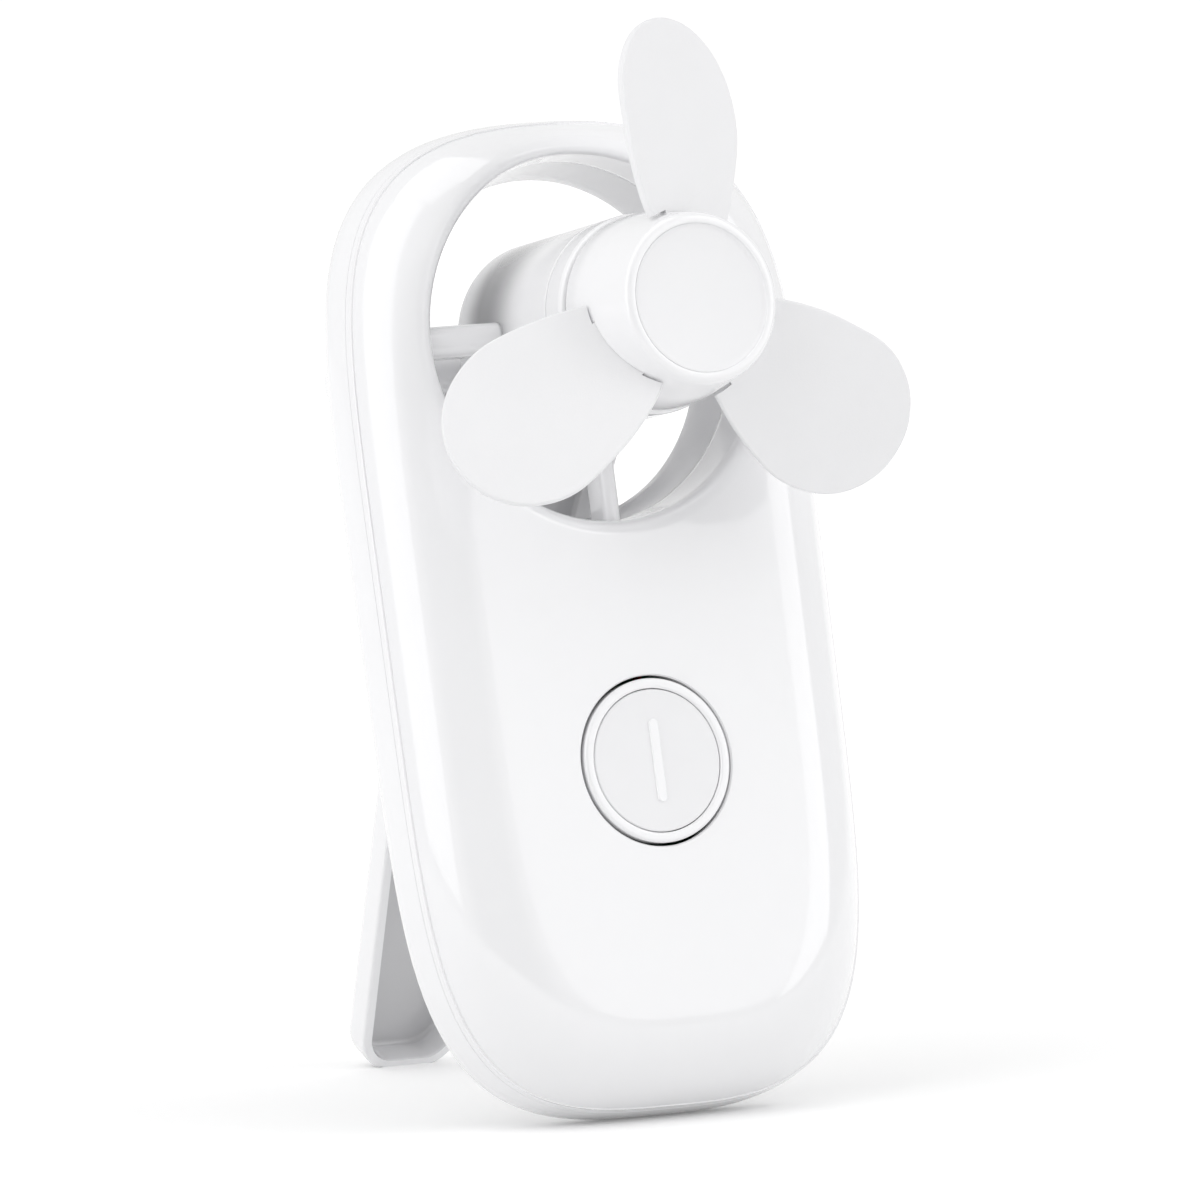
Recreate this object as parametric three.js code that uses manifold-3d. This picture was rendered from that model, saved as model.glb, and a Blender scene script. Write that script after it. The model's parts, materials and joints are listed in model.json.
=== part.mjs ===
// Pocket clip fan with a three-blade rotor, a round push button and a folding rear leg.
// Millimetres, +Z up. The fan stands leaning back on its open leg, as in use.
//
// Every piece is drawn in the body's own frame: the origin is where the rotor's axis crosses the
// plane of the front face, +X is the fan's left-to-right as seen from the front, +Y is towards
// the back and +Z runs up the body. Two groups at the end lean the body back and fold out the leg.

import * as THREE from 'three';
import { mergeVertices } from 'three/addons/utils/BufferGeometryUtils.js';
import Module from 'manifold-3d';

const wasm = await Module();
wasm.setup();

// ---- Driving dimensions ----

const GAP = 0.3; // between pieces that touch

const BODY_HALF_WIDTH = 31.2;
const BODY_HALF_LENGTH = 60;
const BODY_CENTRE = -33.6; // height of the body's middle, below the rotor's axis
const BODY_DEPTH = 15;
const BODY_SKEW = 0.017; // how much wider the top is than the bottom, as a share
const TOP_CURVE = { side: 2.54, end: 5.43 }; // exponents of the rounded outline
const BOTTOM_CURVE = { side: 3.11, end: 5.1 };
const OUTLINE_STEPS = 56;
const ROUND = 36; // sides of the pod, the hub and the button
const TUNNEL_SIDES = 54;
const CROWN = 11.3; // radius of the front edge
const REAR_EDGE = 3.5; // radius of the rear edge
const PARTING = 8.1; // depth of the seam between the two shells, on the side and in the tunnel
const WALL = 1.6;

// The tunnel narrows towards the back, and its middle is a little below the rotor's axis.
const TUNNEL = { height: -0.8, radius: 22.2, seam: 21.9, back: 20.7, collar: 23.7, rim: 2.2 };

const LEAN = THREE.MathUtils.degToRad(12.5);
const LEG_ANGLE = THREE.MathUtils.degToRad(35);

const POD = { radius: 12.1, front: -11.9, split: -8, back: 15, edge: 2, wall: 1.2 };
const ARM = {
  front: 2.4, back: 7, inner: 11.4, end: 24.8, tab: 24.1, tabEnd: 25.6, tabFront: 5.2, tabSpread: 2,
};
const ARMS = [
  { turn: Math.PI / 2, width: 3.9, extra: 0 },
  { turn: Math.PI, width: 2.2, extra: -TUNNEL.height },
  { turn: -Math.PI / 2, width: 3.9, extra: 0 },
];

const MOTOR = { radius: 10, flat: 7.6, front: -7.4, back: 9.2, cap: 1.9, capRadius: 8, shaft: 1 };

const HUB = {
  face: -24.6, back: -12.9, faceRadius: 10.2, backRadius: 11.8, wall: 1.1, flare: 3, widest: 8.5,
};
const HUB_CAP = { radius: 8.9, front: -24.1, thickness: 0.9, dish: 0.35 };

const BLADE = {
  root: 11.4, thickness: 1, pitch: THREE.MathUtils.degToRad(22), middle: -21.2,
  tabHalf: 4.2, tabEnd: 9.3, tabTurn: THREE.MathUtils.degToRad(31),
};
// Where each soft blade stands about the axis: they sit a little unevenly, as in the photo.
const BLADE_TURNS = [-16, 97.5, 213].map(THREE.MathUtils.degToRad);

const BUTTON = {
  height: -52.2, hole: 10.25, ring: 9.9, line: 8.65, cap: 8.4, front: -0.2, deep: 1.6,
  travel: 0.8, markLength: 10, markWidth: 1.5, markRise: 0.25,
};

const BATTERY = { radius: 5.25, top: -28.2, length: 44.5, nub: 1, across: 19.6, middle: 7.6 };
const BOARD = { halfWidth: 11.5, top: -40, bottom: -66, front: 8.4, back: 9.6 };
const SWITCH = { half: 3, front: 4.9, plunger: 1.7 };

const DOOR = { halfWidth: 25.6, top: -27.5, bottom: -77.5, corner: 4, depth: 1.3 };
const DOOR_TRAVEL = 4;

const SCREW = { shaft: 0.9, head: 1.9, headDeep: 1.3, end: 6, boss: 2.4 };
const SCREW_PLACES = [[19.4, 18.6], [-19.4, 18.6], [18.5, -84.5], [-18.5, -84.5]];

const HINGE = {
  back: 17.9, height: -2.6, barrel: 2.4, barrelHalf: 24.1, pin: 1,
  lugInner: 24.6, lugOuter: 27.2,
};
const LEG = {
  topHalf: 13.9, footHalf: 6.9, corner: 4.8, rim: BODY_DEPTH + 0.4, depth: 5.2, wall: 1.2,
  floor: 1.1, start: 1.5, flat: 0.4,
};

// ---- Materials ----

const GLOSS_WHITE = { color: 0xf2f2f2, roughness: 0.18, metalness: 0 };
const SATIN_WHITE = { color: 0xededed, roughness: 0.4, metalness: 0 };
const FOAM_GREY = { color: 0xe4e4e4, roughness: 0.75, metalness: 0 };
const BUTTON_GREY = { color: 0xe9e9e9, roughness: 0.35, metalness: 0 };
const STEEL = { color: 0xb9bcc0, roughness: 0.35, metalness: 1 };
const BRASS = { color: 0xc8a860, roughness: 0.35, metalness: 1 };
const DARK_PLASTIC = { color: 0x2b2c2e, roughness: 0.5, metalness: 0 };
const BOARD_GREEN = { color: 0x2f6b45, roughness: 0.6, metalness: 0 };
const BATTERY_SKIN = { color: 0x4b4f55, roughness: 0.35, metalness: 0.2 };
const WIRE_RED = { color: 0xa8302c, roughness: 0.5, metalness: 0 };
const WIRE_BLACK = { color: 0x242424, roughness: 0.5, metalness: 0 };

// ---- Solids: joining, cutting and basic forms ----

/** Signed volume of an indexed geometry, negative when its faces point inwards. */
function signedVolume(geometry) {
  const place = geometry.getAttribute('position');
  const index = geometry.getIndex();
  const corners = [new THREE.Vector3(), new THREE.Vector3(), new THREE.Vector3()];
  let total = 0;
  for (let i = 0; i < index.count; i += 3) {
    corners.forEach((corner, k) => corner.fromBufferAttribute(place, index.getX(i + k)));
    total += corners[0].dot(corners[1].clone().cross(corners[2]));
  }
  return total / 6;
}

/** A closed three.js geometry as a manifold solid with its faces pointing out. */
function solid(source) {
  const geometry = source.clone();
  geometry.deleteAttribute('normal');
  geometry.deleteAttribute('uv');
  const welded = mergeVertices(geometry, 1e-4);
  const triVerts = Uint32Array.from(welded.getIndex().array);
  if (signedVolume(welded) < 0) {
    for (let i = 0; i < triVerts.length; i += 3) {
      [triVerts[i], triVerts[i + 1]] = [triVerts[i + 1], triVerts[i]];
    }
  }
  const vertProperties = Float32Array.from(welded.getAttribute('position').array);
  return new wasm.Manifold(new wasm.Mesh({ numProp: 3, vertProperties, triVerts }));
}

function join(first, ...others) {
  return others.reduce((whole, piece) => whole.add(piece), first);
}

function cut(first, ...tools) {
  return tools.reduce((rest, tool) => rest.subtract(tool), first);
}

/** Back from a solid to a three.js geometry. */
function geometryOf(manifold) {
  const mesh = manifold.getMesh();
  const geometry = new THREE.BufferGeometry();
  geometry.setAttribute('position', new THREE.BufferAttribute(mesh.vertProperties, mesh.numProp));
  geometry.setIndex(new THREE.BufferAttribute(mesh.triVerts, 1));
  geometry.computeVertexNormals();
  return geometry;
}

/** A solid of revolution about the rotor's axis, from [radius, depth] pairs. */
function turned(profile, segments = ROUND) {
  const points = profile.map(([radius, depth]) => new THREE.Vector2(radius, depth));
  return solid(new THREE.LatheGeometry(points, segments));
}

/** A plain cylinder along the depth, between two depths. */
function rod(radius, front, back, x = 0, z = 0, segments = 24) {
  const geometry = new THREE.CylinderGeometry(radius, radius, back - front, segments);
  return solid(geometry.translate(x, (front + back) / 2, z));
}

function tube(outer, inner, front, back, segments = ROUND) {
  const profile = [[inner, front], [outer, front], [outer, back], [inner, back], [inner, front]];
  return turned(profile, segments);
}

/** A rod along X. */
function crossRod(radius, from, to, y, z, segments = 20) {
  const geometry = new THREE.CylinderGeometry(radius, radius, to - from, segments);
  return solid(geometry.rotateZ(Math.PI / 2).translate((from + to) / 2, y, z));
}

/** A box between two corners. */
function block([x0, y0, z0], [x1, y1, z1]) {
  const geometry = new THREE.BoxGeometry(x1 - x0, y1 - y0, z1 - z0);
  return solid(geometry.translate((x0 + x1) / 2, (y0 + y1) / 2, (z0 + z1) / 2));
}

/** A flat shape drawn in the front view (X, Z), given depth from front to back. */
function plate(shape, front, back, steps = 8) {
  const options = { depth: back - front, bevelEnabled: false, curveSegments: steps };
  const geometry = new THREE.ExtrudeGeometry(shape, options);
  return solid(geometry.rotateX(Math.PI / 2).translate(0, back, 0));
}

/** A solid through closed rings of equally many points, with a flat fan at each end. */
function loft(rings) {
  const count = rings[0].length;
  const points = rings.flat();
  const index = [];
  for (let ring = 0; ring < rings.length - 1; ring++) {
    for (let i = 0; i < count; i++) {
      const a = ring * count + i;
      const b = ring * count + ((i + 1) % count);
      index.push(a, b, b + count, a, b + count, a + count);
    }
  }
  [0, rings.length - 1].forEach((ring, end) => {
    const hub = points.length;
    const centre = rings[ring].reduce((sum, p) => sum.add(p), new THREE.Vector3());
    points.push(centre.divideScalar(count));
    for (let i = 0; i < count; i++) {
      const a = ring * count + i;
      const b = ring * count + ((i + 1) % count);
      index.push(...(end ? [a, b, hub] : [b, a, hub]));
    }
  });
  const geometry = new THREE.BufferGeometry().setFromPoints(points);
  return solid(geometry.setIndex(index));
}

function roundedRectangle(halfWidth, bottom, top, corner) {
  const shape = new THREE.Shape();
  shape.moveTo(-halfWidth + corner, bottom);
  shape.lineTo(halfWidth - corner, bottom);
  shape.absarc(halfWidth - corner, bottom + corner, corner, -Math.PI / 2, 0);
  shape.absarc(halfWidth - corner, top - corner, corner, 0, Math.PI / 2);
  shape.absarc(-halfWidth + corner, top - corner, corner, Math.PI / 2, Math.PI);
  shape.absarc(-halfWidth + corner, bottom + corner, corner, Math.PI, Math.PI * 1.5);
  return shape;
}

/** A round wire or thin rod along a smooth path. */
function wireAlong(points, radius, steps, sides = 6) {
  const section = new THREE.Shape();
  section.absarc(0, 0, radius, 0, Math.PI * 2);
  const path = new THREE.CatmullRomCurve3(points.map((p) => new THREE.Vector3(...p)));
  const options = { steps, extrudePath: path, curveSegments: sides, bevelEnabled: false };
  return solid(new THREE.ExtrudeGeometry(section, options));
}

// ---- The body's rounded outline and its two shells ----

function signedPower(value, power) {
  return Math.sign(value) * Math.abs(value) ** power;
}

/** The body's outline drawn in by an inset, as evenly spaced points at one depth. */
function outlineRing(inset, depth) {
  const fine = [];
  const fineSteps = 720;
  for (let i = 0; i <= fineSteps; i++) {
    const angle = (2 * Math.PI * i) / fineSteps;
    const curve = Math.sin(angle) >= 0 ? TOP_CURVE : BOTTOM_CURVE;
    const rise = signedPower(Math.sin(angle), 2 / curve.end);
    const reach = signedPower(Math.cos(angle), 2 / curve.side);
    const x = (BODY_HALF_WIDTH - inset) * reach * (1 + BODY_SKEW * rise);
    fine.push(new THREE.Vector2(x, BODY_CENTRE + (BODY_HALF_LENGTH - inset) * rise));
  }
  const even = new THREE.Path(fine).getSpacedPoints(OUTLINE_STEPS).slice(0, OUTLINE_STEPS);
  return even.map((p) => new THREE.Vector3(p.x, depth, p.y));
}

/** Rings of a quarter-round edge from the side wall (first) to the flat face (last). */
function edgeRings(inset, radius, sideDepth, faceDepth, steps) {
  const rings = [];
  for (let i = 0; i <= steps; i++) {
    const angle = ((Math.PI / 2) * i) / steps;
    const depth = sideDepth + (faceDepth - sideDepth) * Math.sin(angle);
    rings.push(outlineRing(inset + radius * (1 - Math.cos(angle)), depth));
  }
  return rings;
}

/** The closed outside of the whole body, from its back face over its side to its front face. */
function bodyOutside() {
  const rear = edgeRings(0, REAR_EDGE, BODY_DEPTH - REAR_EDGE, BODY_DEPTH, 4).reverse();
  return loft([...rear, ...edgeRings(0, CROWN, CROWN, 0, 7)]);
}

/** The space inside the body's walls. */
function bodyCavity() {
  const crown = edgeRings(WALL, CROWN - WALL, CROWN, WALL, 5);
  return loft([outlineRing(WALL, BODY_DEPTH - WALL), ...crown]);
}

/** What a solid has between two depths. */
function between(whole, front, back) {
  return whole.intersect(block([-60, front, -120], [60, back, 60]));
}

function tunnelCutter() {
  const { radius, seam, back, rim, height } = TUNNEL;
  const profile = [[0, -1], [radius + rim, -1], [radius + rim, 0]];
  for (let i = 1; i <= 4; i++) {
    const angle = ((Math.PI / 2) * i) / 4;
    profile.push([radius + rim * (1 - Math.sin(angle)), rim * (1 - Math.cos(angle))]);
  }
  profile.push([seam, PARTING], [back, BODY_DEPTH - 1]);
  profile.push([back + 1, BODY_DEPTH + 0.1], [0, BODY_DEPTH + 0.1]);
  return turned(profile, TUNNEL_SIDES).translate([0, 0, height]);
}

/** The round wall about the tunnel between two depths, before the tunnel is cut. */
function tunnelCollar(front, back) {
  const wall = tube(TUNNEL.collar, TUNNEL.back - 1, front, back, TUNNEL_SIDES);
  return wall.translate([0, 0, TUNNEL.height]);
}

/** The space that one arm of the motor frame takes in the front shell's collar. */
function armNotch({ turn, width, extra }) {
  const half = width / 2 + GAP;
  const box = new THREE.BoxGeometry(2 * half, PARTING - ARM.front + 2 * GAP, 4);
  const middle = TUNNEL.radius + 1 + extra;
  box.translate(0, (ARM.front - GAP + PARTING + GAP) / 2, middle);
  return solid(box.rotateY(turn));
}

function screwHoles(radius, front, back) {
  return SCREW_PLACES.map(([x, z]) => rod(radius, front, back, x, z, 16));
}

function frontShell() {
  const outer = between(bodyOutside(), -1, PARTING);
  const collar = tunnelCollar(0, PARTING).intersect(outer);
  const bosses = screwHoles(SCREW.boss, 4.5, PARTING - GAP).map((boss) => boss.intersect(outer));
  const whole = join(cut(outer, bodyCavity()), collar, ...bosses);
  const buttonHole = rod(BUTTON.hole, -1, WALL + 1, 0, BUTTON.height, ROUND);
  const threads = screwHoles(SCREW.shaft + GAP, SCREW.end - GAP, PARTING + 1);
  return cut(whole, tunnelCutter(), buttonHole, ...ARMS.map(armNotch), ...threads);
}

function doorShape(grow, travel = 0) {
  const { halfWidth, bottom, top, corner } = DOOR;
  return roundedRectangle(halfWidth + grow, bottom - grow - travel, top + grow, corner + grow);
}

/** The closed floor of the strip that the door slides down into. */
function doorSlideFloor() {
  const { halfWidth, bottom } = DOOR;
  const end = bottom - DOOR_TRAVEL - GAP - 1.2;
  const front = BODY_DEPTH - WALL - 1.1;
  return block([-halfWidth - 1, front, end], [halfWidth + 1, BODY_DEPTH - 1, bottom + 3]);
}

function hingeLug(side) {
  const shape = new THREE.Shape();
  shape.moveTo(BODY_DEPTH - 1, HINGE.height - HINGE.barrel);
  shape.lineTo(HINGE.back, HINGE.height - HINGE.barrel);
  shape.absarc(HINGE.back, HINGE.height, HINGE.barrel, -Math.PI / 2, Math.PI / 2);
  shape.lineTo(BODY_DEPTH - 1, HINGE.height + HINGE.barrel + 1);
  const width = HINGE.lugOuter - HINGE.lugInner;
  const options = { depth: width, bevelEnabled: false, curveSegments: 6 };
  const geometry = new THREE.ExtrudeGeometry(shape, options);
  const across = new THREE.Vector3(1, 0, 0);
  const depth = new THREE.Vector3(0, 1, 0);
  const height = new THREE.Vector3(0, 0, 1);
  geometry.applyMatrix4(new THREE.Matrix4().makeBasis(depth, height, across));
  const from = side > 0 ? HINGE.lugInner : -HINGE.lugOuter;
  return solid(geometry.translate(from, 0, 0));
}

function rearShell() {
  const start = PARTING + GAP;
  const outer = between(bodyOutside(), start, BODY_DEPTH + 1);
  const collar = tunnelCollar(start, BODY_DEPTH - 1);
  const floor = doorSlideFloor().intersect(outer);
  const whole = join(cut(outer, bodyCavity()), collar, floor, hingeLug(1), hingeLug(-1));
  const ledge = plate(doorShape(GAP, DOOR_TRAVEL), BODY_DEPTH - DOOR.depth - GAP, BODY_DEPTH + 1);
  const pinHole = crossRod(HINGE.pin + GAP, -30, 30, HINGE.back, HINGE.height);
  const heads = screwHoles(SCREW.head + GAP, BODY_DEPTH - SCREW.headDeep, BODY_DEPTH + 1);
  const shafts = screwHoles(SCREW.shaft + GAP, start - 1, BODY_DEPTH);
  return cut(whole, tunnelCutter(), ledge, pinHole, ...heads, ...shafts);
}

function batteryDoor() {
  const panel = plate(doorShape(0), BODY_DEPTH - DOOR.depth, BODY_DEPTH - 0.05);
  const grips = [0, 1, 2].map((i) => {
    const z = DOOR.bottom + 5 + 2.2 * i;
    return block([-6, BODY_DEPTH - 0.6, z], [6, BODY_DEPTH + 1, z + 1]);
  });
  return cut(panel, ...grips);
}

function caseScrew([x, z]) {
  const head = rod(SCREW.head, BODY_DEPTH - SCREW.headDeep + GAP, BODY_DEPTH - 0.1, x, z, 16);
  const shaft = rod(SCREW.shaft, SCREW.end, BODY_DEPTH - SCREW.headDeep + 0.6, x, z, 12);
  const front = BODY_DEPTH - 0.7;
  const slotAcross = block([x - 1.2, front, z - 0.25], [x + 1.2, BODY_DEPTH + 1, z + 0.25]);
  const slotAlong = block([x - 0.25, front, z - 1.2], [x + 0.25, BODY_DEPTH + 1, z + 1.2]);
  return cut(join(head, shaft), slotAcross, slotAlong);
}

// ---- Motor, its pod and the arms across the tunnel ----

/** One arm from the pod to a tab behind the tunnel's collar, drawn upwards and then turned. */
function podArm({ turn, width, extra }) {
  const half = width / 2;
  const bar = roundedRectangle(half, ARM.front, ARM.back, 0.9);
  const options = { depth: ARM.end + extra - ARM.inner, bevelEnabled: false, curveSegments: 4 };
  const geometry = new THREE.ExtrudeGeometry(bar, options).translate(0, 0, ARM.inner);
  const tabWidth = 2 * (half + ARM.tabSpread);
  const tabDepth = PARTING - ARM.tabFront;
  const tab = new THREE.BoxGeometry(tabWidth, tabDepth, ARM.tabEnd - ARM.tab);
  tab.translate(0, ARM.tabFront + tabDepth / 2, (ARM.tabEnd + ARM.tab) / 2 + extra);
  return join(solid(geometry.rotateY(turn)), solid(tab.rotateY(turn)));
}

function motorFrame() {
  const { radius, split, back, edge, wall } = POD;
  const inner = radius - wall;
  const profile = [[inner, split], [radius, split], [radius, back - edge]];
  for (let i = 1; i <= 4; i++) {
    const angle = ((Math.PI / 2) * i) / 4;
    profile.push([radius - edge * (1 - Math.cos(angle)), back - edge * (1 - Math.sin(angle))]);
  }
  profile.push([2, back], [2, back - wall], [inner - edge + wall, back - wall]);
  profile.push([inner, back - edge], [inner, split]);
  return join(turned(profile), ...ARMS.map(podArm));
}

function podFront() {
  const { radius, front, split, wall } = POD;
  const back = split - GAP;
  const profile = [
    [3, front], [radius - 0.6, front], [radius, front + 0.6], [radius, back],
    [radius - wall, back], [radius - wall, front + wall], [3, front + wall], [3, front],
  ];
  return turned(profile);
}

/** The outline of a small can motor: round with two flat sides. */
function motorOutline(radius) {
  const shape = new THREE.Shape();
  const corner = Math.acos(MOTOR.flat / MOTOR.radius);
  const half = Math.PI / 2 - corner;
  shape.absarc(0, 0, radius, -half, half);
  shape.absarc(0, 0, radius, Math.PI - half, Math.PI + half);
  return shape;
}

function motorCan() {
  const can = plate(motorOutline(MOTOR.radius), MOTOR.front, MOTOR.back, 12);
  const boss = rod(2.6, MOTOR.front - 1.2, MOTOR.front + 1, 0, 0, 20);
  return cut(join(can, boss), rod(MOTOR.shaft + GAP, MOTOR.front - 2, MOTOR.back + 1, 0, 0, 16));
}

function motorEndCap() {
  const start = MOTOR.back + GAP;
  const cap = plate(motorOutline(MOTOR.capRadius), start, start + MOTOR.cap, 12);
  return cut(cap, rod(MOTOR.shaft + GAP, start - 1, start + MOTOR.cap + 1, 0, 0, 16));
}

function motorTerminal(side) {
  const start = MOTOR.back + MOTOR.cap + 2 * GAP;
  const x = side * 5;
  return block([x - 1, start, -0.3], [x + 1, start + 0.7, 0.3]);
}

function motorShaft() {
  return rod(MOTOR.shaft, HUB.face + 3.4, MOTOR.back + MOTOR.cap - 0.4, 0, 0, 16);
}

// ---- Rotor ----

function hubTab(turn, grow) {
  const { tabHalf, tabEnd, tabTurn, thickness, pitch, middle, root } = BLADE;
  const inner = tabEnd - grow;
  const outer = root + 3;
  const tab = new THREE.BoxGeometry(2 * (tabHalf + grow), thickness + 2 * grow, outer - inner);
  tab.translate(0, 0, (outer + inner) / 2).rotateY(tabTurn).rotateZ(pitch);
  tab.translate(0, middle, 0);
  return solid(tab.rotateY(turn));
}

/** The hub's outside as a turned profile, grown all round. */
function hubOutside(grow) {
  const { face, back, faceRadius, backRadius, flare, widest } = HUB;
  return [
    [0, face - grow], [faceRadius + grow, face - grow], [faceRadius + 0.5 + grow, face + flare],
    [backRadius + grow, face + widest], [backRadius + grow, back + grow], [0, back + grow],
  ];
}

function rotorHub() {
  const { face, back, faceRadius, backRadius, wall, flare, widest } = HUB;
  const floor = HUB_CAP.front + HUB_CAP.thickness + GAP;
  const lip = HUB_CAP.radius + GAP;
  const profile = [
    [MOTOR.shaft + GAP, floor], [lip, floor], [lip, face],
    [faceRadius - 0.35, face], [faceRadius, face + 0.5], [faceRadius + 0.5, face + flare],
    [backRadius, face + widest], [backRadius, back], [backRadius - wall, back],
    [backRadius - wall, face + widest], [faceRadius - 1, floor + wall], [2.6, floor + wall],
    [2.6, back - 1.5], [MOTOR.shaft + GAP, back - 1.5], [MOTOR.shaft + GAP, floor],
  ];
  const slots = BLADE_TURNS.map((turn) => hubTab(turn, GAP));
  return cut(turned(profile), ...slots);
}

function hubCap() {
  const { radius, front, thickness, dish } = HUB_CAP;
  const back = front + thickness;
  const profile = [
    [0, back], [radius, back], [radius, front + 0.2], [radius - 0.3, front],
    [radius * 0.6, front + dish * 0.7], [0, front + dish],
  ];
  return turned(profile);
}

/** The soft paddle seen square on, with its root below: it leans over to its trailing side. */
function bladeShape() {
  const shape = new THREE.Shape();
  shape.moveTo(11, 5.7);
  shape.splineThru([
    new THREE.Vector2(15.4, 9.6), new THREE.Vector2(20.2, 15.4), new THREE.Vector2(22, 21),
    new THREE.Vector2(21.4, 26), new THREE.Vector2(18.6, 30.1), new THREE.Vector2(14.2, 32.3),
    new THREE.Vector2(9.7, 32.2), new THREE.Vector2(6, 30.4), new THREE.Vector2(3.2, 27.4),
    new THREE.Vector2(1.2, 22.8), new THREE.Vector2(-0.3, 18), new THREE.Vector2(-1.1, 12.5),
    new THREE.Vector2(-0.4, 8.6), new THREE.Vector2(1.4, 7),
  ]);
  return shape;
}

function rotorBlade(turn) {
  const { thickness, pitch, middle } = BLADE;
  const options = { depth: thickness, bevelEnabled: false, curveSegments: 2 };
  const paddle = new THREE.ExtrudeGeometry(bladeShape(), options);
  paddle.rotateX(Math.PI / 2).translate(0, thickness / 2, 0).rotateZ(pitch).translate(0, middle, 0);
  const trimmed = cut(solid(paddle.rotateY(turn)), turned(hubOutside(GAP)));
  return join(trimmed, hubTab(turn, 0));
}

// ---- Button, board and battery parts ----

function buttonRing() {
  const { ring, line, front, deep } = BUTTON;
  const profile = [
    [line, front + 0.1], [line + 0.35, front - 0.15], [ring - 0.35, front - 0.15], [ring, front + 0.3],
    [ring, deep], [line, deep], [line, front + 0.1],
  ];
  return turned(profile).translate([0, 0, BUTTON.height]);
}

function buttonCap() {
  const { cap, front, deep, height, markLength, markWidth, markRise } = BUTTON;
  const disc = rod(cap, front, deep, 0, height, ROUND);
  const stem = rod(2, deep - 0.5, SWITCH.front - BUTTON.travel - GAP, 0, height, 16);
  const reach = markLength / 2;
  const mark = roundedRectangle(markWidth / 2, height - reach, height + reach, markWidth / 2 - 0.01);
  const bar = plate(mark, front - markRise, front + 0.5, 6);
  return join(disc, stem, bar);
}

function tactSwitch() {
  const { half, front, plunger } = SWITCH;
  const z = BUTTON.height;
  const body = block([-half, front + 1, z - half], [half, BOARD.front - GAP, z + half]);
  return join(body, rod(plunger, front, front + 1.5, 0, z, 16));
}

function circuitBoard() {
  const { halfWidth, top, bottom, front, back } = BOARD;
  return plate(roundedRectangle(halfWidth, bottom, top, 1.5), front, back, 3);
}

/** A small cell standing on end, with its nub up or down. */
function battery(side) {
  const { radius, top, length, nub, across, middle } = BATTERY;
  const body = length - nub;
  const barrel = new THREE.CylinderGeometry(radius, radius, body, 24).rotateX(Math.PI / 2);
  const tip = new THREE.CylinderGeometry(1.9, 1.9, nub + 0.5, 16).rotateX(Math.PI / 2);
  const bodyTop = side > 0 ? top - nub : top;
  barrel.translate(side * across, middle, bodyTop - body / 2);
  tip.translate(side * across, middle, side > 0 ? top - nub / 2 - 0.25 : top - body - nub / 2 + 0.25);
  return join(solid(barrel), solid(tip));
}

/** The flat contact that one cell's nub presses on. */
function nubContact(side) {
  const { top, length, across, middle } = BATTERY;
  const z = side > 0 ? top + GAP : top - length - GAP - 0.5;
  const half = 3.4;
  return block(
    [side * across - half, middle - half, z], [side * across + half, middle + half, z + 0.5],
  );
}

/** The conical spring at the cell's flat end. */
function cellSpring(side) {
  const { top, length, across, middle } = BATTERY;
  const turns = 3;
  const height = 2.6;
  const start = side > 0 ? top - length - GAP - 0.4 : top + GAP + 0.4;
  const points = [];
  const steps = 8 * turns;
  for (let i = 0; i <= steps; i++) {
    const angle = (2 * Math.PI * turns * i) / steps;
    const radius = 2 + (1.6 * i) / steps;
    const z = start - (side * height * i) / steps;
    points.push([side * across + radius * Math.cos(angle), middle + radius * Math.sin(angle), z]);
  }
  return wireAlong(points, 0.28, steps, 3);
}

/** A motor wire from the board up to the foot of the lower arm. */
function motorWire(side) {
  const x = side * 3;
  return wireAlong([
    [x, BOARD.front - 1.1, BOARD.top - 3], [x, BOARD.front - 1.2, BOARD.top + 3],
    [x * 0.8, 5.4, -32], [x * 0.55, 5, TUNNEL.height - ARM.tabEnd - GAP - 0.6],
  ], 0.6, 8, 3);
}

// ---- Folding rear leg, drawn closed against the back ----

/** Height of a point of the body's frame when it leans back, before the fan is lifted. */
function leaningHeight(depth, height) {
  return height * Math.cos(LEAN) - depth * Math.sin(LEAN);
}

/** Height of the body's lowest point when it leans back: on its round rear edge. */
function lowestPoint() {
  const edgeHeight = BODY_CENTRE - BODY_HALF_LENGTH + REAR_EDGE;
  return leaningHeight(BODY_DEPTH - REAR_EDGE, edgeHeight) - REAR_EDGE;
}

const FLOOR = lowestPoint();

/** The leg's length from its hinge, so that its front edge meets the floor with a small flat. */
function legLength() {
  const tilt = LEG_ANGLE - LEAN;
  const drop = leaningHeight(HINGE.back, HINGE.height) - FLOOR + LEG.flat;
  return (drop - (HINGE.back - LEG.rim) * Math.sin(tilt)) / Math.cos(tilt);
}

const LEG_LENGTH = legLength();

/** Half the width of the leg at a distance below its hinge. */
function legHalf(distance) {
  return LEG.topHalf + ((LEG.footHalf - LEG.topHalf) * distance) / LEG_LENGTH;
}

function legShape(inset) {
  const top = HINGE.height - LEG.start - inset;
  const bottom = HINGE.height - LEG_LENGTH + inset;
  const wide = legHalf(LEG.start) - inset;
  const narrow = legHalf(LEG_LENGTH) - inset;
  const corner = LEG.corner - inset;
  const shape = new THREE.Shape();
  shape.moveTo(-wide, top);
  shape.lineTo(-narrow, bottom + corner);
  shape.absarc(-narrow + corner, bottom + corner, corner, Math.PI, Math.PI * 1.5);
  shape.absarc(narrow - corner, bottom + corner, corner, -Math.PI / 2, 0);
  shape.lineTo(wide, top);
  return shape;
}

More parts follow.
